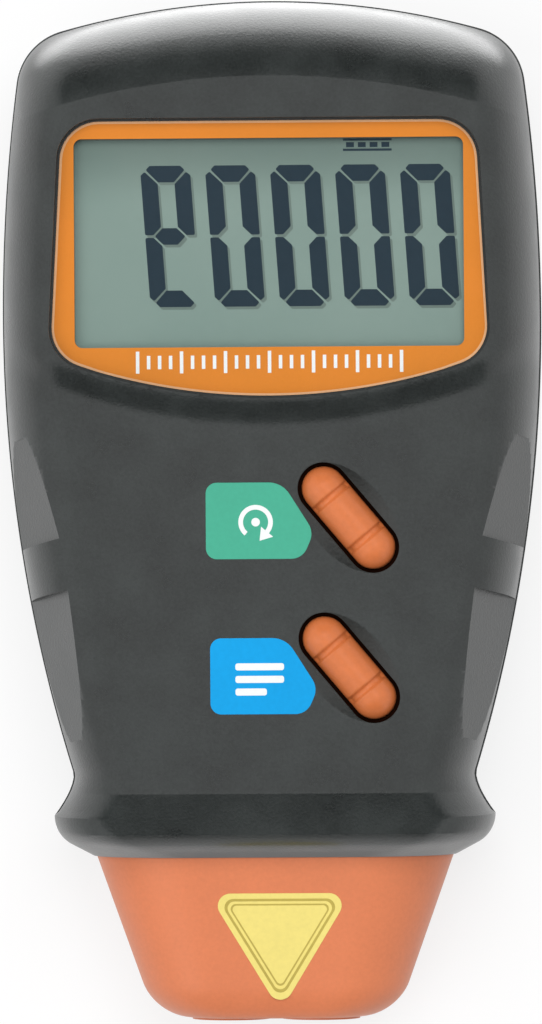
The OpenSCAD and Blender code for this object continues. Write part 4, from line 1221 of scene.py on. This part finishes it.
# Labels and print
def label(name, look, x0, x1, y0, y1, slant_x, slant_y):
    """Label with a slanted corner beside its key."""
    points = [(x0, y0), (x1 - LABEL_CORNER_IN, y0), (x1 + LABEL_BULGE, slant_y), (slant_x, y1), (x0, y1)]
    outline = round_outline(points, LABEL_RADII)
    piece = prism(name, outline, FACE_Z - LABEL_SINK, FACE_Z + LABEL_T, LABEL_EDGE)
    finish_piece(piece, "housing", look)


def turn_symbol():
    """Open ring with an arrowhead round a dot: measure while turning."""
    a = np.linspace(TURN_FROM, TURN_TO, TURN_POINTS)
    unit = np.stack([np.cos(a), np.sin(a)], 1)
    ring = np.vstack([TURN_OUTER * unit, TURN_INNER * unit[::-1]])
    side = unit[0]
    along = np.array([side[1], -side[0]])
    base = TURN_MIDDLE * side
    head = np.array([base + side * ARROW_HALF, base - side * ARROW_HALF, base + along * ARROW_LEN])
    return [ring + TURN_AT, head + TURN_AT, circle(*TURN_AT, DOT_D, DOT_POINTS)]


def stack_symbol():
    """Three stored readings, one above another."""
    bars = []
    for k, width in enumerate(STACK_WIDTHS):
        bar = rectangle(STACK_LEFT + width / 2, STACK_TOP_Y - k * STACK_PITCH, width, STACK_T)
        bars.append(round_outline(bar, STACK_R, PRINT_CORNER_STEPS))
    return bars


def tick_scale():
    """Row of ticks below the display, every fourth one longer."""
    y = WINDOW_MID_Y - WINDOW_H / 2 - TICK_BELOW
    ticks = []
    for k in range(-TICKS_ASIDE, TICKS_ASIDE + 1):
        length = TICK_LONG if k % LONG_EVERY == 0 else TICK_SHORT
        ticks.append(rectangle(k * TICK_PITCH, y, TICK_W, length))
    return ticks


def prints():
    low = FACE_Z + LABEL_T - PRINT_SINK
    high = FACE_Z + LABEL_T + PRINT_T
    marks = [prism("mark", outline, low, high) for outline in turn_symbol() + stack_symbol()]
    finish_piece(join("label_symbols", marks), "housing", WHITE)
    ticks = [prism("tick", outline, LENS_Z, LENS_Z + PRINT_T) for outline in tick_scale()]
    finish_piece(join("border_ticks", ticks), "housing", WHITE)


def on_nose(obj, lift):
    """Lay a flat piece on the sloping top of the nose."""
    for v in obj.data.vertices:
        t = (JOINT_Y - v.co.y / MM) / (JOINT_Y - TIP_FACE_Y)
        v.co.z += mix(MOUTH_TOP, SEAM_Z + TIP_H / 2, t) * MM + lift * MM
    return obj


def triangle_outline(d):
    """Triangle that points at the tip, inset by d."""
    half = TRIANGLE_HALF - d * INSET_HALF
    top = TRIANGLE_TOP - d
    tip = TRIANGLE_TIP + d * INSET_TIP
    points = [(TRIANGLE_X, tip), (TRIANGLE_X + half, top), (TRIANGLE_X - half, top)]
    return round_outline(points, max(TRIANGLE_R - d * INSET_R, TRIANGLE_LEAST_R))


def nose_label():
    patch = prism("yellow_patch", triangle_outline(0), -LABEL_SINK, LABEL_T, LABEL_EDGE)
    finish_piece(on_nose(patch, 0), "housing", YELLOW)
    for name, out, width in PATCH_LINES:
        line = prism(name, triangle_outline(out), 0, PRINT_T)
        combine(line, prism("hole", triangle_outline(out + width), -OVER, OVER))
        finish_piece(on_nose(line, LABEL_T - PRINT_SINK), "housing", YELLOW_LINE)


# Camera, lamps and surroundings
def look_at(obj, target, roll=0.0):
    """Turn a camera or lamp to the target, with +Y upwards in its picture."""
    back = (obj.location - Vector(target)).normalized()
    right = Vector((0, 1, 0)).cross(back).normalized()
    turn = Matrix((right, back.cross(right), back)).transposed().to_4x4()
    obj.rotation_mode = "QUATERNION"
    obj.rotation_quaternion = (turn @ Matrix.Rotation(roll, 4, "Z")).to_quaternion()


def make_camera():
    data = bpy.data.cameras.new("camera")
    data.sensor_fit = "AUTO"
    data.sensor_width = SENSOR_W
    data.lens = SENSOR_W * (CAMERA_AT[2] - CAMERA_AIM[2]) / VIEW_HEIGHT
    data.clip_end = CAMERA_FAR
    cam = bpy.data.objects.new("camera", data)
    bpy.context.scene.collection.objects.link(cam)
    cam.location = CAMERA_AT
    look_at(cam, CAMERA_AIM, CAMERA_ROLL)
    bpy.context.scene.camera = cam


def lamp(name, at, size, power, aim=(0, 0, 0), mirrored=False):
    """Rectangular lamp, placed in metres; only a mirrored one shows in gloss."""
    data = bpy.data.lights.new(name, "AREA")
    data.shape = "RECTANGLE"
    data.size, data.size_y = size
    data.energy = power
    obj = bpy.data.objects.new(name, data)
    bpy.context.scene.collection.objects.link(obj)
    obj.location = at
    look_at(obj, aim)
    obj.visible_glossy = mirrored
    obj.visible_camera = False


def path_share(tree, names):
    """1 for rays of the named kinds."""
    path = add_node(tree, "LightPath")
    total = path.outputs[names[0]]
    for name in names[1:]:
        total = add_node(tree, "Math", {0: total, 1: path.outputs[name]}, "MAXIMUM").outputs[0]
    return total


def floor_look():
    """Pale to soft light; white, with the part's soft shadow, to the camera, gloss and glass."""
    look, tree = new_material("floor")
    pale = add_node(tree, "BsdfDiffuse", {"Color": grey(FLOOR_PALE)})
    glow = add_node(tree, "Emission", {"Strength": FLOOR_GLOW})
    shadowed = add_node(tree, "BsdfDiffuse", {"Color": grey(FLOOR_SHADOWED)})
    white = add_node(tree, "AddShader", {0: glow.outputs["Emission"], 1: shadowed.outputs["BSDF"]})
    share = path_share(tree, BACKGROUND_RAYS)
    seen = add_node(tree, "MixShader", {"Fac": share, 1: pale.outputs["BSDF"], 2: white.outputs["Shader"]})
    add_node(tree, "OutputMaterial", {"Surface": seen.outputs["Shader"]})
    return look


def make_floor():
    points = [(x, y, -FLOOR_DROP) for x, y in corners(-FLOOR_HALF, FLOOR_HALF, -FLOOR_HALF, FLOOR_HALF)]
    floor = add_object("floor", points, [[0, 1, 2, 3]])
    floor.data.materials.append(floor_look())


def make_cards():
    """Dark studio cards beyond both ends, which only gloss sees, as the photograph's slopes show."""
    for name, side in (("end_card", 1), ("nose_card", -1)):
        points = [(x, side * CARD_AT, z) for x, z in corners(-CARD_HALF, CARD_HALF, CARD_LOW, CARD_HIGH)]
        card = add_object(name, points, [[0, 1, 2, 3]])
        card.data.materials.append(CARD)
        card.visible_camera = False
        card.visible_diffuse = False
        card.visible_shadow = False
        card.visible_transmission = False


def make_world():
    """Soft even light, seen as a pale background."""
    world = bpy.data.worlds.new("studio")
    bpy.context.scene.world = world
    world.use_nodes = True
    tree = world.node_tree
    tree.nodes.clear()
    soft = add_node(tree, "Background", {"Color": grey(WORLD_PALE), "Strength": WORLD_DIFFUSE})
    pale = add_node(tree, "Background", {"Color": grey(WORLD_PALE)})
    share = path_share(tree, BACKGROUND_RAYS)
    sides = {1: soft.outputs["Background"], 2: pale.outputs["Background"]}
    seen = add_node(tree, "MixShader", {"Fac": share, **sides})
    add_node(tree, "OutputWorld", {"Surface": seen.outputs["Shader"]})


bpy.context.scene.view_settings.view_transform = "Standard"
make_camera()
make_world()
make_floor()
make_cards()
lamp("key", at=(0.15, 0.5, 1.3), size=(0.9, 0.9), power=12.0)
lamp("fill", at=(-0.7, -0.2, 0.9), size=(0.8, 0.8), power=4.5)
lamp("rim", at=(0.0, 0.135, 0.002), size=(0.096, 0.13), power=0.135, aim=(0.0, 0.135, 1.0), mirrored=True)
dress_nodes()
front_case()
rear_case()
battery_cover()
nose()
key("test_cap", "test_key", "test_button", TEST_Y)
key("memory_cap", "memory_key", "memory_button", MEMORY_Y)
display()
digits("display_digits", PRINT_T, (0, 0), SEGMENT)
# Painted shadow: a thinner, darker copy of the digits, shifted
digits("digit_shadows", PRINT_T / 3, DIGIT_SHADOW_SHIFT, PAINTED_DIGIT_SHADOW)
level_mark()
label("green_label", GREEN, *GREEN_EDGES)
label("blue_label", BLUE, *BLUE_EDGES)
prints()
nose_label()
